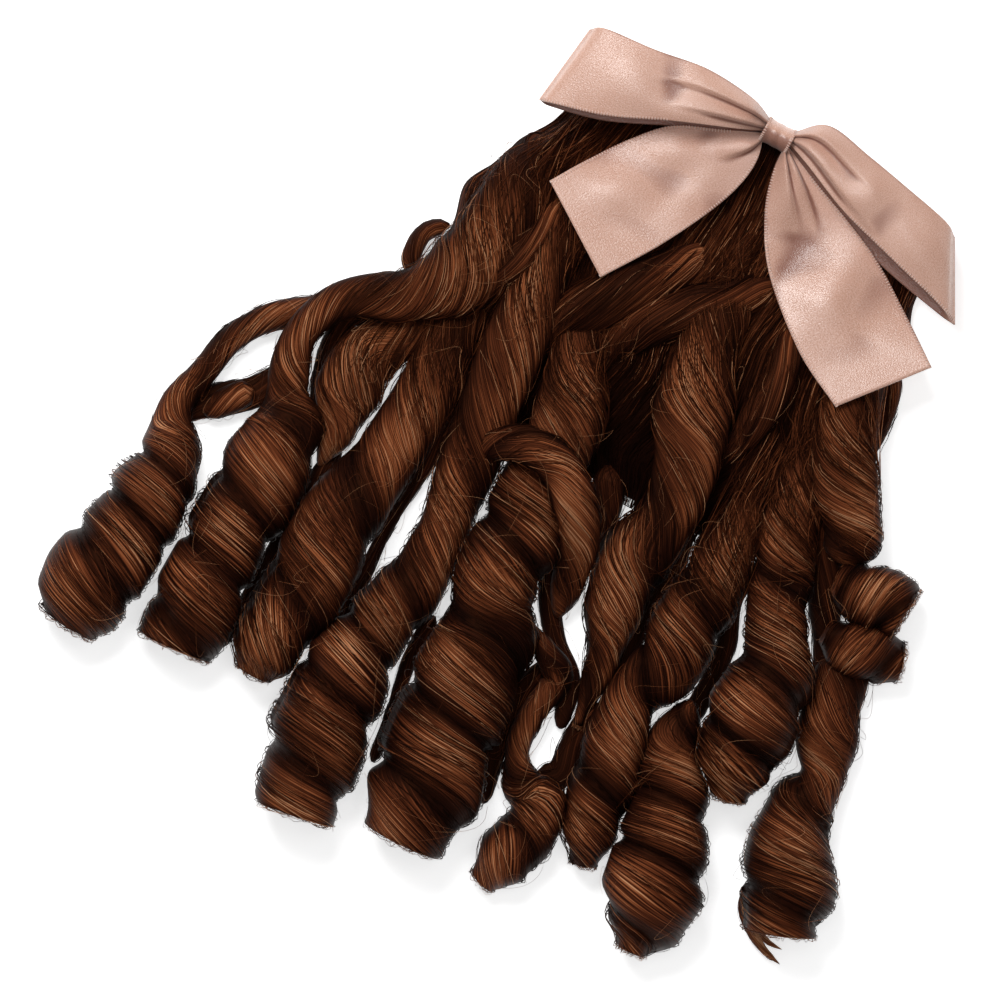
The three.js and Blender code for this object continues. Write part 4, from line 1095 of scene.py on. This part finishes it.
@dataclass
class Crown:
    """The mat of hair that hangs from the clip, under the ringlets' roots."""

    rows: list[CrownRow] = field(default_factory=lambda: [CrownRow(*values) for values in CROWN])
    ridge_high: float = 2.2 * MM
    ridges: int = 17
    sink: float = 0.8 * MM  # the skin lies this far under the fibres
    fibre_long: float = 85 * MM
    fibre_half: float = 0.17 * MM
    fibres: int = 2100
    fibre_points: int = 12
    grid: tuple[int, int] = (70, 110)  # places of the skin down and across

    def __post_init__(self) -> None:
        """Turn the rows into one array for each column."""
        keys = CrownRow.__annotations__
        self.table = {key: np.array([getattr(row, key) for row in self.rows]) for key in keys}

    def row_place(self, down: Array) -> Array:
        """Place counted in rows of a share down."""
        return np.interp(down, self.table["down"], np.arange(len(self.rows)))

    def high_at(self, down: Array) -> Array:
        """Height of the mat's middle at a share down."""
        return eased(self.table["high"], self.row_place(down)) * REACH

    def edges_at(self, row: Array) -> tuple[Array, Array]:
        """Places in X of the mat's two edges."""
        return tuple(eased(self.table[key], row) * REACH for key in ("left", "right"))

    def ridge_at(self, row: Array, share: Array) -> Array:
        """Depth between the mat's locks, from 0 on a lock to 1 between two."""
        return 0.5 - 0.5 * np.cos(math.pi * self.ridges * (share + 0.02 * np.sin(4 * share + 1.1 * row)))

    def place_at(self, down: Array, share: Array) -> Array:
        """Points on the mat's top, from a share down and a share from -1 to 1 across."""
        row = self.row_place(down)
        left, right = self.edges_at(row)
        edge = np.sqrt(np.maximum(1 - 0.86 * share**6, 0))
        high = eased(self.table["high"], row) * REACH * edge
        high = high - self.ridge_high * self.ridge_at(row, share) * edge
        x = left + (right - left) * 0.5 * (share + 1)
        return np.stack([x, -down * LENGTH, high], -1)

    def within(self, points: Array) -> Array:
        """Places in X of points, kept inside the mat's two edges."""
        left, right = self.edges_at(self.row_place(-points[..., 1] / LENGTH))
        return np.clip(points[..., 0], left + 4 * MM, right - 4 * MM)

    def over(self, points: Array, lift: float) -> Array:
        """Points, with those that lie in the mat raised a little above its top."""
        down = -points[..., 1] / LENGTH
        left, right = self.edges_at(self.row_place(down))
        share = np.clip(2 * (points[..., 0] - left) / (right - left) - 1, -1, 1)
        top = self.place_at(down, share)[..., 2] + lift
        raised = points.copy()
        raised[..., 2] = np.maximum(points[..., 2], top)
        return raised

    def shade_at(self, down: Array, share: Array) -> Array:
        """How light the mat is painted: painted shade under the bow, between the ringlets and between its
        own locks, where it lies in shade.
        """
        ridge = self.ridge_at(self.row_place(down), share)
        deep = np.clip((down - 0.2) / 0.1, 0, 1)
        near = np.clip(down / 0.12, 0.15, 1)
        return (0.46 * near * (1 - 0.75 * deep)) * (1 - 0.5 * ridge)

    def build(self, material: Material) -> Object:
        """Make the crown as one piece that stands for its CAD node."""
        shell = Shell()
        downs = np.linspace(self.rows[0].down, self.rows[-1].down, self.grid[0])
        down, share = np.meshgrid(downs, np.linspace(-1, 1, self.grid[1]), indexing="ij")
        upper = self.place_at(down, share).reshape(-1, 3)
        upper[:, 2] = np.maximum(upper[:, 2] - self.sink, 1 * MM)
        lower = upper.copy()
        lower[:, 2] = FLOOR_GAP
        pairs = np.stack([down.ravel() * LENGTH, share.ravel() * 80 * MM], -1)
        tone = self.shade_at(down.ravel(), share.ravel())
        add_slab(shell, upper, lower, self.grid, pairs, tone)
        self.add_fibres(shell)
        piece = shell.build("crown_fibres", "fibre", material)
        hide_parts("crown_hair")
        return piece

    def add_fibres(self, shell: Shell) -> None:
        """Add the fibres that run down the mat in slow waves."""
        rng = np.random.default_rng(CROWN_SEED)
        places = np.linspace(0, 1, self.fibre_points)[None, :]
        start = rng.uniform(-0.12, 0.4, self.fibres)
        down = start[:, None] + places * self.fibre_long / LENGTH
        down = np.clip(down, self.rows[0].down, self.rows[-1].down + 0.01)
        lane = rng.uniform(-1, 1, self.fibres)[:, None]
        share = np.clip(lane + 0.02 * smooth_wave(rng, (self.fibres,), places, 0.7), -1, 1)
        share = np.clip(share + 0.035 * np.sin(13 * down + 2.5 * lane), -1, 1)
        paths = self.place_at(down, share)
        lift = (0.1 + 0.35 * rng.uniform(0, 1, self.fibres) ** 2)[:, None]
        paths[..., 2] += lift * (0.8 + 0.2 * np.sin(9 * places)) * MM
        shade = self.shade_at(down.mean(1), share.mean(1))
        tones = shade * np.exp(rng.normal(0, 0.35, self.fibres))
        add_fibres(shell, paths, self.fibre_half * rng.uniform(*HALF_SPREAD, self.fibres), tones)


def add_slab(shell: Shell, upper: Array, lower: Array, grid: tuple, pairs: Array, tones: Array) -> None:
    """Add a closed slab between two grids of the same layout.

    Args:
        shell: takes the slab.
        upper: the side that faces out, row by row.
        lower: the other side.
        grid: how many rows each grid has, and how many places a row has.
        pairs: UV pair of each grid place.
        tones: tone of each grid place.
    """
    rows, columns = grid
    top = quads_of(rows, columns, False)
    count = rows * columns
    rim = [j * columns for j in range(rows - 1)]
    rim += [(rows - 1) * columns + i for i in range(columns - 1)]
    rim += [j * columns + columns - 1 for j in range(rows - 1, 0, -1)]
    rim += list(range(columns - 1, 0, -1))
    edge = np.array(rim)
    after = np.roll(edge, -1)
    wall = np.stack([edge, edge + count, after + count, after], 1)
    faces = np.vstack([top, top[:, ::-1] + count, wall])
    corners = corner_pairs(np.vstack([pairs, pairs]), faces)
    shell.add(np.vstack([upper, lower]), faces, corners, np.concatenate([tones, tones]))


@dataclass(frozen=True)
class Pleat:
    """A fold that runs out from the knot: a crest with a gentle side and a steep one.

    The crest starts at the knot at one share across the ribbon and ends at another."""

    across: float
    ends: float
    depth: float  # millimetres
    half: float
    reach: float
    lean: int = 1

    def relief(self, out: Array, across: Array) -> Array:
        """Height that the pleat adds at each share out and across."""
        along = np.clip(out / self.reach, 0, 1)
        crest = self.across + (self.ends - self.across) * along
        off = (across - crest) * self.lean / self.half
        fade = (1 - along**2) ** 1.5 * np.clip(0.35 + 4 * out, 0, 1)
        return self.depth * MM * fade * np.where(off > 0, np.exp(-(off**2)), np.exp(-((off / 0.22) ** 2)))


@dataclass(frozen=True)
class Swell:
    """A rounded rise or dent in the ribbon, in millimetres."""

    place: tuple[float, float]
    half: tuple[float, float]
    turn: float
    high: float

    def relief(self, x: Array, y: Array) -> Array:
        """Height that the swell adds at each place."""
        dx, dy = x - self.place[0] * MM, y - self.place[1] * MM
        angle = math.radians(self.turn)
        long = (dx * math.cos(angle) + dy * math.sin(angle)) / (self.half[0] * MM)
        short = (-dx * math.sin(angle) + dy * math.cos(angle)) / (self.half[1] * MM)
        return self.high * MM * np.exp(-(long**2) - short**2)


@dataclass(frozen=True)
class Ribbon:
    """A loop or a tail of the bow, with its sections listed from the knot out.

    A loop's section is its top edge's two shares, its low edge's two shares, and the heights of
    its upper and lower layers. A tail's is its inner edge's two shares, its outer edge's two
    shares, and its rise."""

    side: int  # -1 left of the knot, 1 right of it
    rows: list[tuple]
    pleats: list[Pleat]
    swells: list[Swell]
    slip: float = 0.0  # how far a loop's lower layer shows below the upper one

    def sections(self, share: Array) -> list[Array]:
        """The sections' values at shares of the way out, one column for each value."""
        table = np.array(self.rows, float)
        places = curve_through(table, share * (len(table) - 1))[:, None, :]
        return [places[..., k] for k in range(table.shape[1])]

    def relief(self, x: Array, y: Array, out: Array, across: Array) -> Array:
        """Height that the swells and pleats add at each place."""
        swells = sum(swell.relief(x, y) for swell in self.swells)
        return swells + sum(pleat.relief(out, across) for pleat in self.pleats)


LOOPS = {
    "bow_loop_left": Ribbon(
        side=-1,
        rows=[
            (0, 0.12, 0, 0.075, 0.4, 0.1), (0.13, 0.175, 0.13, 0.005, 0.85, 0),
            (0.35, 0.195, 0.36, -0.1, 1.05, 0), (0.59, 0.157, 0.63, -0.235, 1.05, 0),
            (0.79, 0.14, 0.84, -0.3, 0.9, 0.05), (0.86, 0.1, 0.91, -0.315, 0.55, 0.45),
        ],
        pleats=[Pleat(0.3, 0.3, 7.0, 0.34, 0.56, -1), Pleat(0.72, 0.7, 6.0, 0.3, 0.46, -1)],
        swells=[
            Swell((-46, 5), (7, 10), 24, -1.3), Swell((-36, -4), (12, 6), 10, 2.2),
            Swell((-62, -2), (13, 15), 10, 2.4),
        ],
        slip=1.6 * MM,
    ),
    "bow_loop_right": Ribbon(
        side=1,
        rows=[
            (0, 0.12, 0, 0.075, 0.4, 0.1), (0.13, 0.23, 0.13, 0.01, 0.85, 0),
            (0.33, 0.19, 0.35, -0.105, 1.05, 0), (0.53, 0.142, 0.61, -0.195, 1.05, 0),
            (0.73, 0.09, 0.87, -0.28, 0.9, 0.05), (0.81, 0.04, 0.985, -0.335, 0.55, 0.45),
        ],
        pleats=[Pleat(0.3, 0.36, 7.0, 0.32, 0.5, -1), Pleat(0.68, 0.84, 6.5, 0.28, 0.54, -1)],
        swells=[Swell((42, 2), (8, 8), -20, 2.6), Swell((68, -8), (13, 13), -20, 2.2)],
        slip=4.5 * MM,
    ),
}

TAILS = {
    "bow_tail_left": Ribbon(
        side=-1,
        rows=[
            (0, 0.025, 0, 0.062, 0.15), (-0.02, -0.07, 0.15, -0.015, 0.25),
            (-0.01, -0.2, 0.36, -0.12, 0.18), (0.04, -0.37, 0.49, -0.27, 0.1),
            (0.17, -0.66, 0.61, -0.46, 0.16), (0.33, -0.94, 0.71, -0.64, 0.32),
        ],
        pleats=[Pleat(0.32, 0.42, 5.0, 0.3, 0.42, 1)],
        swells=[
            Swell((-24, -6), (8, 4), 30, -1.8), Swell((-33, -19), (13, 8), 34, 2.8),
            Swell((-44, -41), (15, 9), 35, 2.4), Swell((-60, -28), (9, 14), 20, -1.4),
            Swell((-18, -28), (8, 16), -10, 1.8),
        ],
    ),
    "bow_tail_right": Ribbon(
        side=1,
        rows=[
            (0, 0.025, 0, 0.062, 0.15), (0.005, -0.08, 0.17, -0.03, 0.25),
            (0.05, -0.27, 0.39, -0.135, 0.2), (0.18, -0.52, 0.59, -0.25, 0.12),
            (0.45, -0.8, 0.78, -0.4, 0.2), (0.7, -0.96, 0.98, -0.57, 0.42),
        ],
        pleats=[Pleat(0.3, 0.3, 7.0, 0.3, 0.5, -1), Pleat(0.66, 0.5, 6.0, 0.26, 0.5, -1)],
        swells=[
            Swell((48, -36), (11, 24), -8, 4.4), Swell((27, -36), (7, 18), -10, -1.4),
            Swell((15, -16), (6, 12), 10, 2.0), Swell((58, -51), (8, 8), 0, 0.9),
        ],
    ),
}


@dataclass
class Bow:
    """A bow of satin ribbon: two loops, two tails, a knot band and the ribbon's stitched edges."""

    half: float = 90 * MM
    reach: float = 80 * MM
    loop_high: float = 15 * MM
    thick: float = 0.6 * MM
    knot_wide: float = 12 * MM
    knot_deep: float = 9.5 * MM
    knot_high: float = 19 * MM
    knot_low: float = 8.4 * MM
    tuck: float = 4.5 * MM  # how near the middle the pleated ends reach, inside the knot
    clear: float = 7 * MM
    seat: float = 15.2 * MM  # height of the lower layers, clear of the crown
    stitch_gap: float = 1.15 * MM
    stitch_long: float = 1.5 * MM
    stitch_wide: float = 0.5 * MM
    loop_places: tuple[int, int] = (160, 56)  # grid places along and across
    tail_places: tuple[int, int] = (90, 56)
    knot_places: tuple[int, int] = (97, 28)
    edges: list = field(default_factory=list)

    def bow_x(self, side: int, share: Array) -> Array:
        """Place in X, counted from the knot's side."""
        return side * (self.tuck + share * (self.half + self.clear - self.tuck))

    @property
    def knot_y(self) -> float:
        """Place in Y of the knot's middle."""
        return 0.078 * self.reach

    def ribbon(self, name: str, middle: Array, material: Material, looped: bool = False) -> Object:
        """Give a grid of middle points its thickness and make it a piece.

        Args:
            name: the piece's name.
            middle: points shaped rows, columns, 3.
            material: the satin.
            looped: whether the second half gets painted shade, as it lies in the shade of the first.

        Returns:
            The object.
        """
        shell = Shell()
        normal = normals_of(middle)
        upper = (middle + 0.5 * self.thick * normal).reshape(-1, 3)
        lower = (middle - 0.5 * self.thick * normal).reshape(-1, 3)
        # Painted shade: darker in the ribbon's hollows and near the knot, and on a loop's lower layer.
        tones = self.hollow_shade(middle) + 0.4 * np.exp(-np.abs(middle[..., 0]) / (9 * MM))
        if looped:
            back = np.linspace(0, 1, len(middle))[:, None]
            tones = np.maximum(tones, 0.85 * np.clip((back - 0.52) / 0.05, 0, 1))
        pairs = self.weave_pairs(middle).reshape(-1, 2)
        add_slab(shell, upper, lower, middle.shape[:2], pairs, tones.ravel())
        return shell.build(name, "weave", material)

    def hollow_shade(self, middle: Array) -> Array:
        """How far each place of a ribbon lies below what is round it, from 0 to 1, as painted shade in
        its hollows.
        """
        high = middle[..., 2]
        near = high
        for _ in range(10):
            held = np.pad(near, 1, mode="edge")
            near = (held[:-2, 1:-1] + held[2:, 1:-1] + held[1:-1, :-2] + held[1:-1, 2:]) / 4
        return np.clip((near - high) / (0.3 * MM) - 0.15, 0, 0.8)

    def weave_pairs(self, middle: Array) -> Array:
        """UV pairs that follow the ribbon's real length and width."""
        down = np.linalg.norm(np.diff(middle.mean(1), axis=0), axis=1)
        along = np.concatenate([[0], np.cumsum(down)])
        across = np.linspace(0, RIBBON_WIDE, middle.shape[1])
        u, v = np.meshgrid(along, across, indexing="ij")
        return np.stack([u, v], -1)

    def keep_edge(self, middle: Array, column: int, first: float, last: float) -> None:
        """Keep one edge of a ribbon for its stitches.

        Args:
            middle: the ribbon's middle points.
            column: which column the edge is.
            first: share of the rows where the stitches begin.
            last: share of the rows where they end.
        """
        span = slice(int(first * (len(middle) - 1)), int(last * (len(middle) - 1)) + 1)
        inward = unit(middle[span, column + (1 if column == 0 else -1)] - middle[span, column])
        line = middle[span, column] + 0.45 * self.stitch_long * inward
        self.add_edge(line, normals_of(middle)[span, column])

    def add_edge(self, line: Array, up: Array) -> None:
        """Keep a line of places for stitches, raised to the ribbon's face."""
        self.edges.append((line + (0.5 * self.thick + 0.1 * MM) * up, up))

    def loop_grid(self, loop: Ribbon) -> Array:
        """Middle points of a loop, out along the upper layer and back along the lower one."""
        u, v = np.meshgrid(*(np.linspace(0, 1, count) for count in self.loop_places), indexing="ij")
        out = u < 0.5
        back = 1 - np.abs(1 - 2 * u)
        top_x, top_y, low_x, low_y, upper, lower = loop.sections(back[:, 0])
        x = self.bow_x(loop.side, top_x * (1 - v) + low_x * v)
        y = (top_y * (1 - v) + low_y * v) * self.reach
        bulge = np.sqrt(np.clip((1 - back) / 0.12, 0, 1))  # rounds the fold at the loop's far end
        middle = 0.5 * (upper + lower)
        high = middle + np.where(out, upper - middle, lower - middle) * bulge
        puff = 2.2 * MM * np.sin(math.pi * v) * np.sin(math.pi * back)
        raised = (loop.relief(x, y, back, v) + puff) * np.where(out, 1, 0.15)
        z = self.seat + high * self.loop_high + raised
        y = y - np.where(out, 0, loop.slip * np.sin(math.pi * np.clip(back, 0, 1)) * v)
        return np.stack([x, y, z], -1)

    def tail_grid(self, tail: Ribbon, crown: Crown) -> Array:
        """Middle points of a tail, from the knot down over the crown."""
        u, v = np.meshgrid(*(np.linspace(0, 1, count) for count in self.tail_places), indexing="ij")
        inner_x, inner_y, outer_x, outer_y, rise = tail.sections(u[:, 0])
        x = self.bow_x(tail.side, inner_x * (1 - v) + outer_x * v)
        y = (inner_y * (1 - v) + outer_y * v) * self.reach
        seat = np.maximum(crown.high_at(-y / LENGTH) + 2.2 * MM, self.seat)
        z = seat + rise * self.loop_high + tail.relief(x, y, u, v)
        return np.stack([x, y, z], -1)

    def knot_grid(self) -> Array:
        """Middle points of the knot band, once round the bow's middle."""
        turns = np.linspace(0, 2 * math.pi, self.knot_places[0])
        turn, across = np.meshgrid(turns, np.linspace(-1, 1, self.knot_places[1]), indexing="ij")
        pinch = 1 - 0.05 * (1 - across**2) + 0.02 * np.cos(9 * across + 2 * np.sin(turn))
        y = self.knot_y + 0.5 * self.knot_deep * pinch * np.cos(turn)
        z = self.knot_low + 0.5 * self.knot_high * (1 + pinch * np.sin(turn) * 0.97)
        return np.stack([across * 0.5 * self.knot_wide, y, z], -1)

    def build_knot(self, material: Material) -> Object:
        """Make the knot band, closed round and stitched along both edges."""
        middle = self.knot_grid()
        normal = normals_of(middle)
        centre = np.array([0, self.knot_y, self.knot_low + 0.5 * self.knot_high])
        # The band is a closed tube: its outer skin, then its inner one the other way.
        flip = np.sign(((middle - centre) * normal).sum(-1).mean())
        outer = (middle + flip * 0.5 * self.thick * normal)[:-1]
        inner = (middle - flip * 0.5 * self.thick * normal)[:-1, ::-1]
        loop = np.concatenate([outer, inner], axis=1)
        loop = np.concatenate([loop, loop[:1]], axis=0)
        rows, columns, _ = loop.shape
        faces = quads_of(rows, columns, True)
        around = np.cumsum(np.linalg.norm(np.gradient(loop.mean(1), axis=0), axis=1))
        u, v = np.meshgrid(around, np.linspace(0, 24 * MM, columns), indexing="ij")
        pairs = corner_pairs(np.stack([u, v], -1).reshape(-1, 2), faces)
        ring = (rows - 1) * columns
        shell = Shell()
        # Painted shade on the knot band's lower side.
        lower = np.clip(0.9 - (loop[:-1, :, 1] - centre[1]) / (1.2 * MM), 0, 1)
        shell.add(loop.reshape(-1, 3)[:ring], faces % ring, pairs, 0.7 * lower.ravel())
        for column in (0, middle.shape[1] - 1):
            line = middle[:, column] + np.array([0.5 * MM if column == 0 else -0.5 * MM, 0, 0])
            self.add_edge(line, flip * normal[:, column])
        piece = shell.build("bow_knot_band", "weave", material)
        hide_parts("bow_knot")
        return piece

    def stitch_tree(self, material: Material) -> Tree:
        """Geometry nodes that lay one rounded stitch across an edge at every gap."""
        tree = bpy.data.node_groups.new("edge_stitches", "GeometryNodeTree")
        sockets = tree.interface
        sockets.new_socket(name="Edge", in_out="INPUT", socket_type="NodeSocketGeometry")
        for name in ("Gap", "Stitch length", "Stitch width"):
            sockets.new_socket(name=name, in_out="INPUT", socket_type="NodeSocketFloat")
        sockets.new_socket(name="Stitches", in_out="OUTPUT", socket_type="NodeSocketGeometry")
        given = add_node(tree, "NodeGroupInput")
        curve = add_node(tree, "GeometryNodeMeshToCurve", {"Mesh": given.outputs["Edge"]})
        spacing = {"Curve": curve.outputs[0], "Length": given.outputs["Gap"]}
        spaced = add_node(tree, "GeometryNodeResampleCurve", spacing, mode="LENGTH")
        facing = add_node(
            tree, "GeometryNodeInputNamedAttribute", {"Name": "facing"}, data_type="FLOAT_VECTOR"
        )
        tangent = add_node(tree, "GeometryNodeInputTangent")
        align = "FunctionNodeAlignRotationToVector"
        flat = add_node(tree, align, {"Vector": facing.outputs[0]}, axis="Z")
        along = {"Rotation": flat.outputs[0], "Vector": tangent.outputs[0]}
        turned = add_node(tree, align, along, axis="X", pivot_axis="Z")
        bead = add_node(tree, "GeometryNodeMeshUVSphere", {"Segments": 6, "Rings": 4, "Radius": 0.5})
        wide, long = given.outputs["Stitch width"], given.outputs["Stitch length"]
        size = add_node(tree, "ShaderNodeCombineXYZ", {0: wide, 1: long, 2: wide})
        laying = {"Points": spaced.outputs[0], "Instance": bead.outputs[0]}
        laying |= {"Rotation": turned.outputs[0], "Scale": size.outputs[0]}
        laid = add_node(tree, "GeometryNodeInstanceOnPoints", laying)
        real = add_node(tree, "GeometryNodeRealizeInstances", {0: laid.outputs[0]})
        smooth = add_node(tree, "GeometryNodeSetShadeSmooth", {0: real.outputs[0]})
        dressing = {"Geometry": smooth.outputs[0], "Material": material}
        dressed = add_node(tree, "GeometryNodeSetMaterial", dressing)
        add_node(tree, "NodeGroupOutput", {0: dressed.outputs[0]})
        return tree

    def build_stitches(self, material: Material) -> Object:
        """Run the stitches along every kept edge and make them one plain mesh."""
        points = np.vstack([line for line, _ in self.edges])
        facing = np.vstack([up for _, up in self.edges])
        links, first = [], 0
        for line, _ in self.edges:
            links += [(first + i, first + i + 1) for i in range(len(line) - 1)]
            first += len(line)
        mesh = bpy.data.meshes.new("ribbon_edges")
        mesh.from_pydata(points.tolist(), links, [])
        kept = mesh.attributes.new("facing", "FLOAT_VECTOR", "POINT")
        kept.data.foreach_set("vector", facing.astype(np.float32).ravel())
        guide = new_object("ribbon_edges", mesh)
        tree = self.stitch_tree(material)
        modifier = guide.modifiers.new("stitches", "NODES")
        modifier.node_group = tree
        given = {"Gap": self.stitch_gap, "Stitch length": self.stitch_long}
        given["Stitch width"] = self.stitch_wide
        for item in tree.interface.items_tree:
            if item.in_out == "INPUT" and item.name in given:
                modifier[item.identifier] = given[item.name]
        evaluated = guide.evaluated_get(bpy.context.evaluated_depsgraph_get())
        plain = bpy.data.meshes.new_from_object(evaluated)
        guide.modifiers.remove(modifier)
        bpy.data.objects.remove(guide)
        return new_object("bow_edge_stitches", plain)

    def build(self, crown: Crown, satin: Material, thread: Material) -> list[Object]:
        """Make every piece of the bow: loops, tails, knot and stitches."""
        pieces = []
        for node, loop in LOOPS.items():
            middle = self.loop_grid(loop)
            middle = middle[:, ::-1] if loop.side > 0 else middle
            piece = self.ribbon(f"{node}_satin", middle, satin, looped=True)
            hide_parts(node)
            for first, last in ((0.22, 0.49), (0.51, 0.78)):
                self.keep_edge(middle, 0 if loop.side > 0 else -1, first, last)
            pieces.append(piece)
        for node, tail in TAILS.items():
            middle = self.tail_grid(tail, crown)
            middle = middle[:, ::-1] if tail.side < 0 else middle
            piece = self.ribbon(f"{node}_satin", middle, satin)
            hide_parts(node)
            for column in (0, -1):
                self.keep_edge(middle, column, 0.2, 1)
            pieces.append(piece)
        knot = self.build_knot(satin)
        return [*pieces, knot, self.build_stitches(thread)]


@dataclass(frozen=True)
class Lamp:
    """A soft square light, its place and size in metres and its power in watts."""

    name: str
    place: tuple[float, float, float]
    size: float
    power: float

    def build(self, target: tuple[float, float, float]) -> None:
        """Make the light and turn it to its target."""
        data = bpy.data.lights.new(self.name, "AREA")
        data.size = self.size
        data.energy = self.power
        light = new_object(self.name, data)
        light.location = self.place
        light.rotation_mode = "QUATERNION"
        light.rotation_quaternion = (Vector(target) - Vector(self.place)).to_track_quat("-Z", "Y")


@dataclass
class Studio:
    """White table, soft light and a camera straight above, turned as the photograph is."""

    middle: tuple[float, float] = (-28.9 * MM, -170 * MM)
    turn: float = 28.0
    frame_wide: float = 390 * MM
    camera_high: float = 4.0
    mid_high: float = 16 * MM  # height at which the frame has its width
    sensor: float = 36.0
    table_half: float = 3.0
    world_strength: float = 0.28
    lamps: tuple[Lamp, ...] = (
        Lamp("key", (-0.55, 0.3, 1.05), 0.55, 11.0),
        Lamp("top", (0.1, -0.1, 1.3), 0.5, 2.0),
    )

    def build(self) -> None:
        """Make the floor, the lights and the camera."""
        self.build_floor()
        self.build_lights()
        self.build_camera()

    def build_floor(self) -> None:
        """A wide white table top under the hairpiece."""
        half = self.table_half
        mesh = bpy.data.meshes.new("studio_table")
        corners = [(-half, -half, 0), (half, -half, 0), (half, half, 0), (-half, half, 0)]
        mesh.from_pydata(corners, [], [(0, 1, 2, 3)])
        mesh.materials.append(TableFinish().material())
        floor = new_object("studio_table", mesh)

    def build_lights(self) -> None:
        """One large key from the bow's side, a weaker fill, and an even white surround."""
        world = bpy.data.worlds.new("studio_surround")
        world.use_nodes = True
        world.node_tree.nodes.clear()
        light = {"Color": (1.0, 1.0, 1.0, 1.0), "Strength": self.world_strength}
        sky = add_node(world.node_tree, "ShaderNodeBackground", light)
        add_node(world.node_tree, "ShaderNodeOutputWorld", {0: sky.outputs[0]})
        bpy.context.scene.world = world
        bpy.context.scene.view_settings.view_transform = "Standard"
        for lamp in self.lamps:
            lamp.build((*self.middle, 0))

    def build_camera(self) -> None:
        """The camera looks straight down and is turned about its own line of sight."""
        data = bpy.data.cameras.new("camera")
        data.sensor_width = self.sensor
        data.lens = self.sensor * (self.camera_high - self.mid_high) / self.frame_wide
        camera = new_object("camera", data)
        camera.location = (*self.middle, self.camera_high)
        camera.rotation_euler = (0, 0, math.radians(self.turn))
        bpy.context.scene.camera = camera


@dataclass
class Hairpiece:
    """The whole hairpiece: crown, ringlets, short locks, bow and clip."""

    def build(self) -> None:
        """Build each piece, give it its body, and report it."""
        hair = HairFinish().material()
        satin = SatinFinish().material()
        thread = ThreadFinish().material()
        crown = Crown()
        made = [(crown.build(hair), "hair")]
        for lock in named_locks():
            made.append((lock.build(hair, crown if lock.name in LEADS else None), "hair"))
        strands = Shell()
        for number, strand in enumerate(STRANDS):
            strand_lock(strand, STRAND_SEED + number).add_to(strands)
        made.append((strands.build("loose_strand_fibres", "fibre", hair), "hair"))
        made += [(piece, "satin") for piece in Bow().build(crown, satin, thread)]
        for piece, slot in made:
            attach(piece, "root")
            log.info("%s: %d faces", piece.name, len(piece.data.polygons))
        total = sum(len(p.vertices) - 2 for piece, _ in made for p in piece.data.polygons)
        log.info("triangles in all: %d", total)
        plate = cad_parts["clip_plate"]
        plate.data.materials.clear()
        plate.data.materials.append(ClipFinish().material())


def main() -> None:
    """Build the hairpiece and the studio."""
    logging.basicConfig(level=logging.INFO, format="%(name)s %(message)s")
    Hairpiece().build()
    Studio().build()


if __name__ == "__main__":
    main()
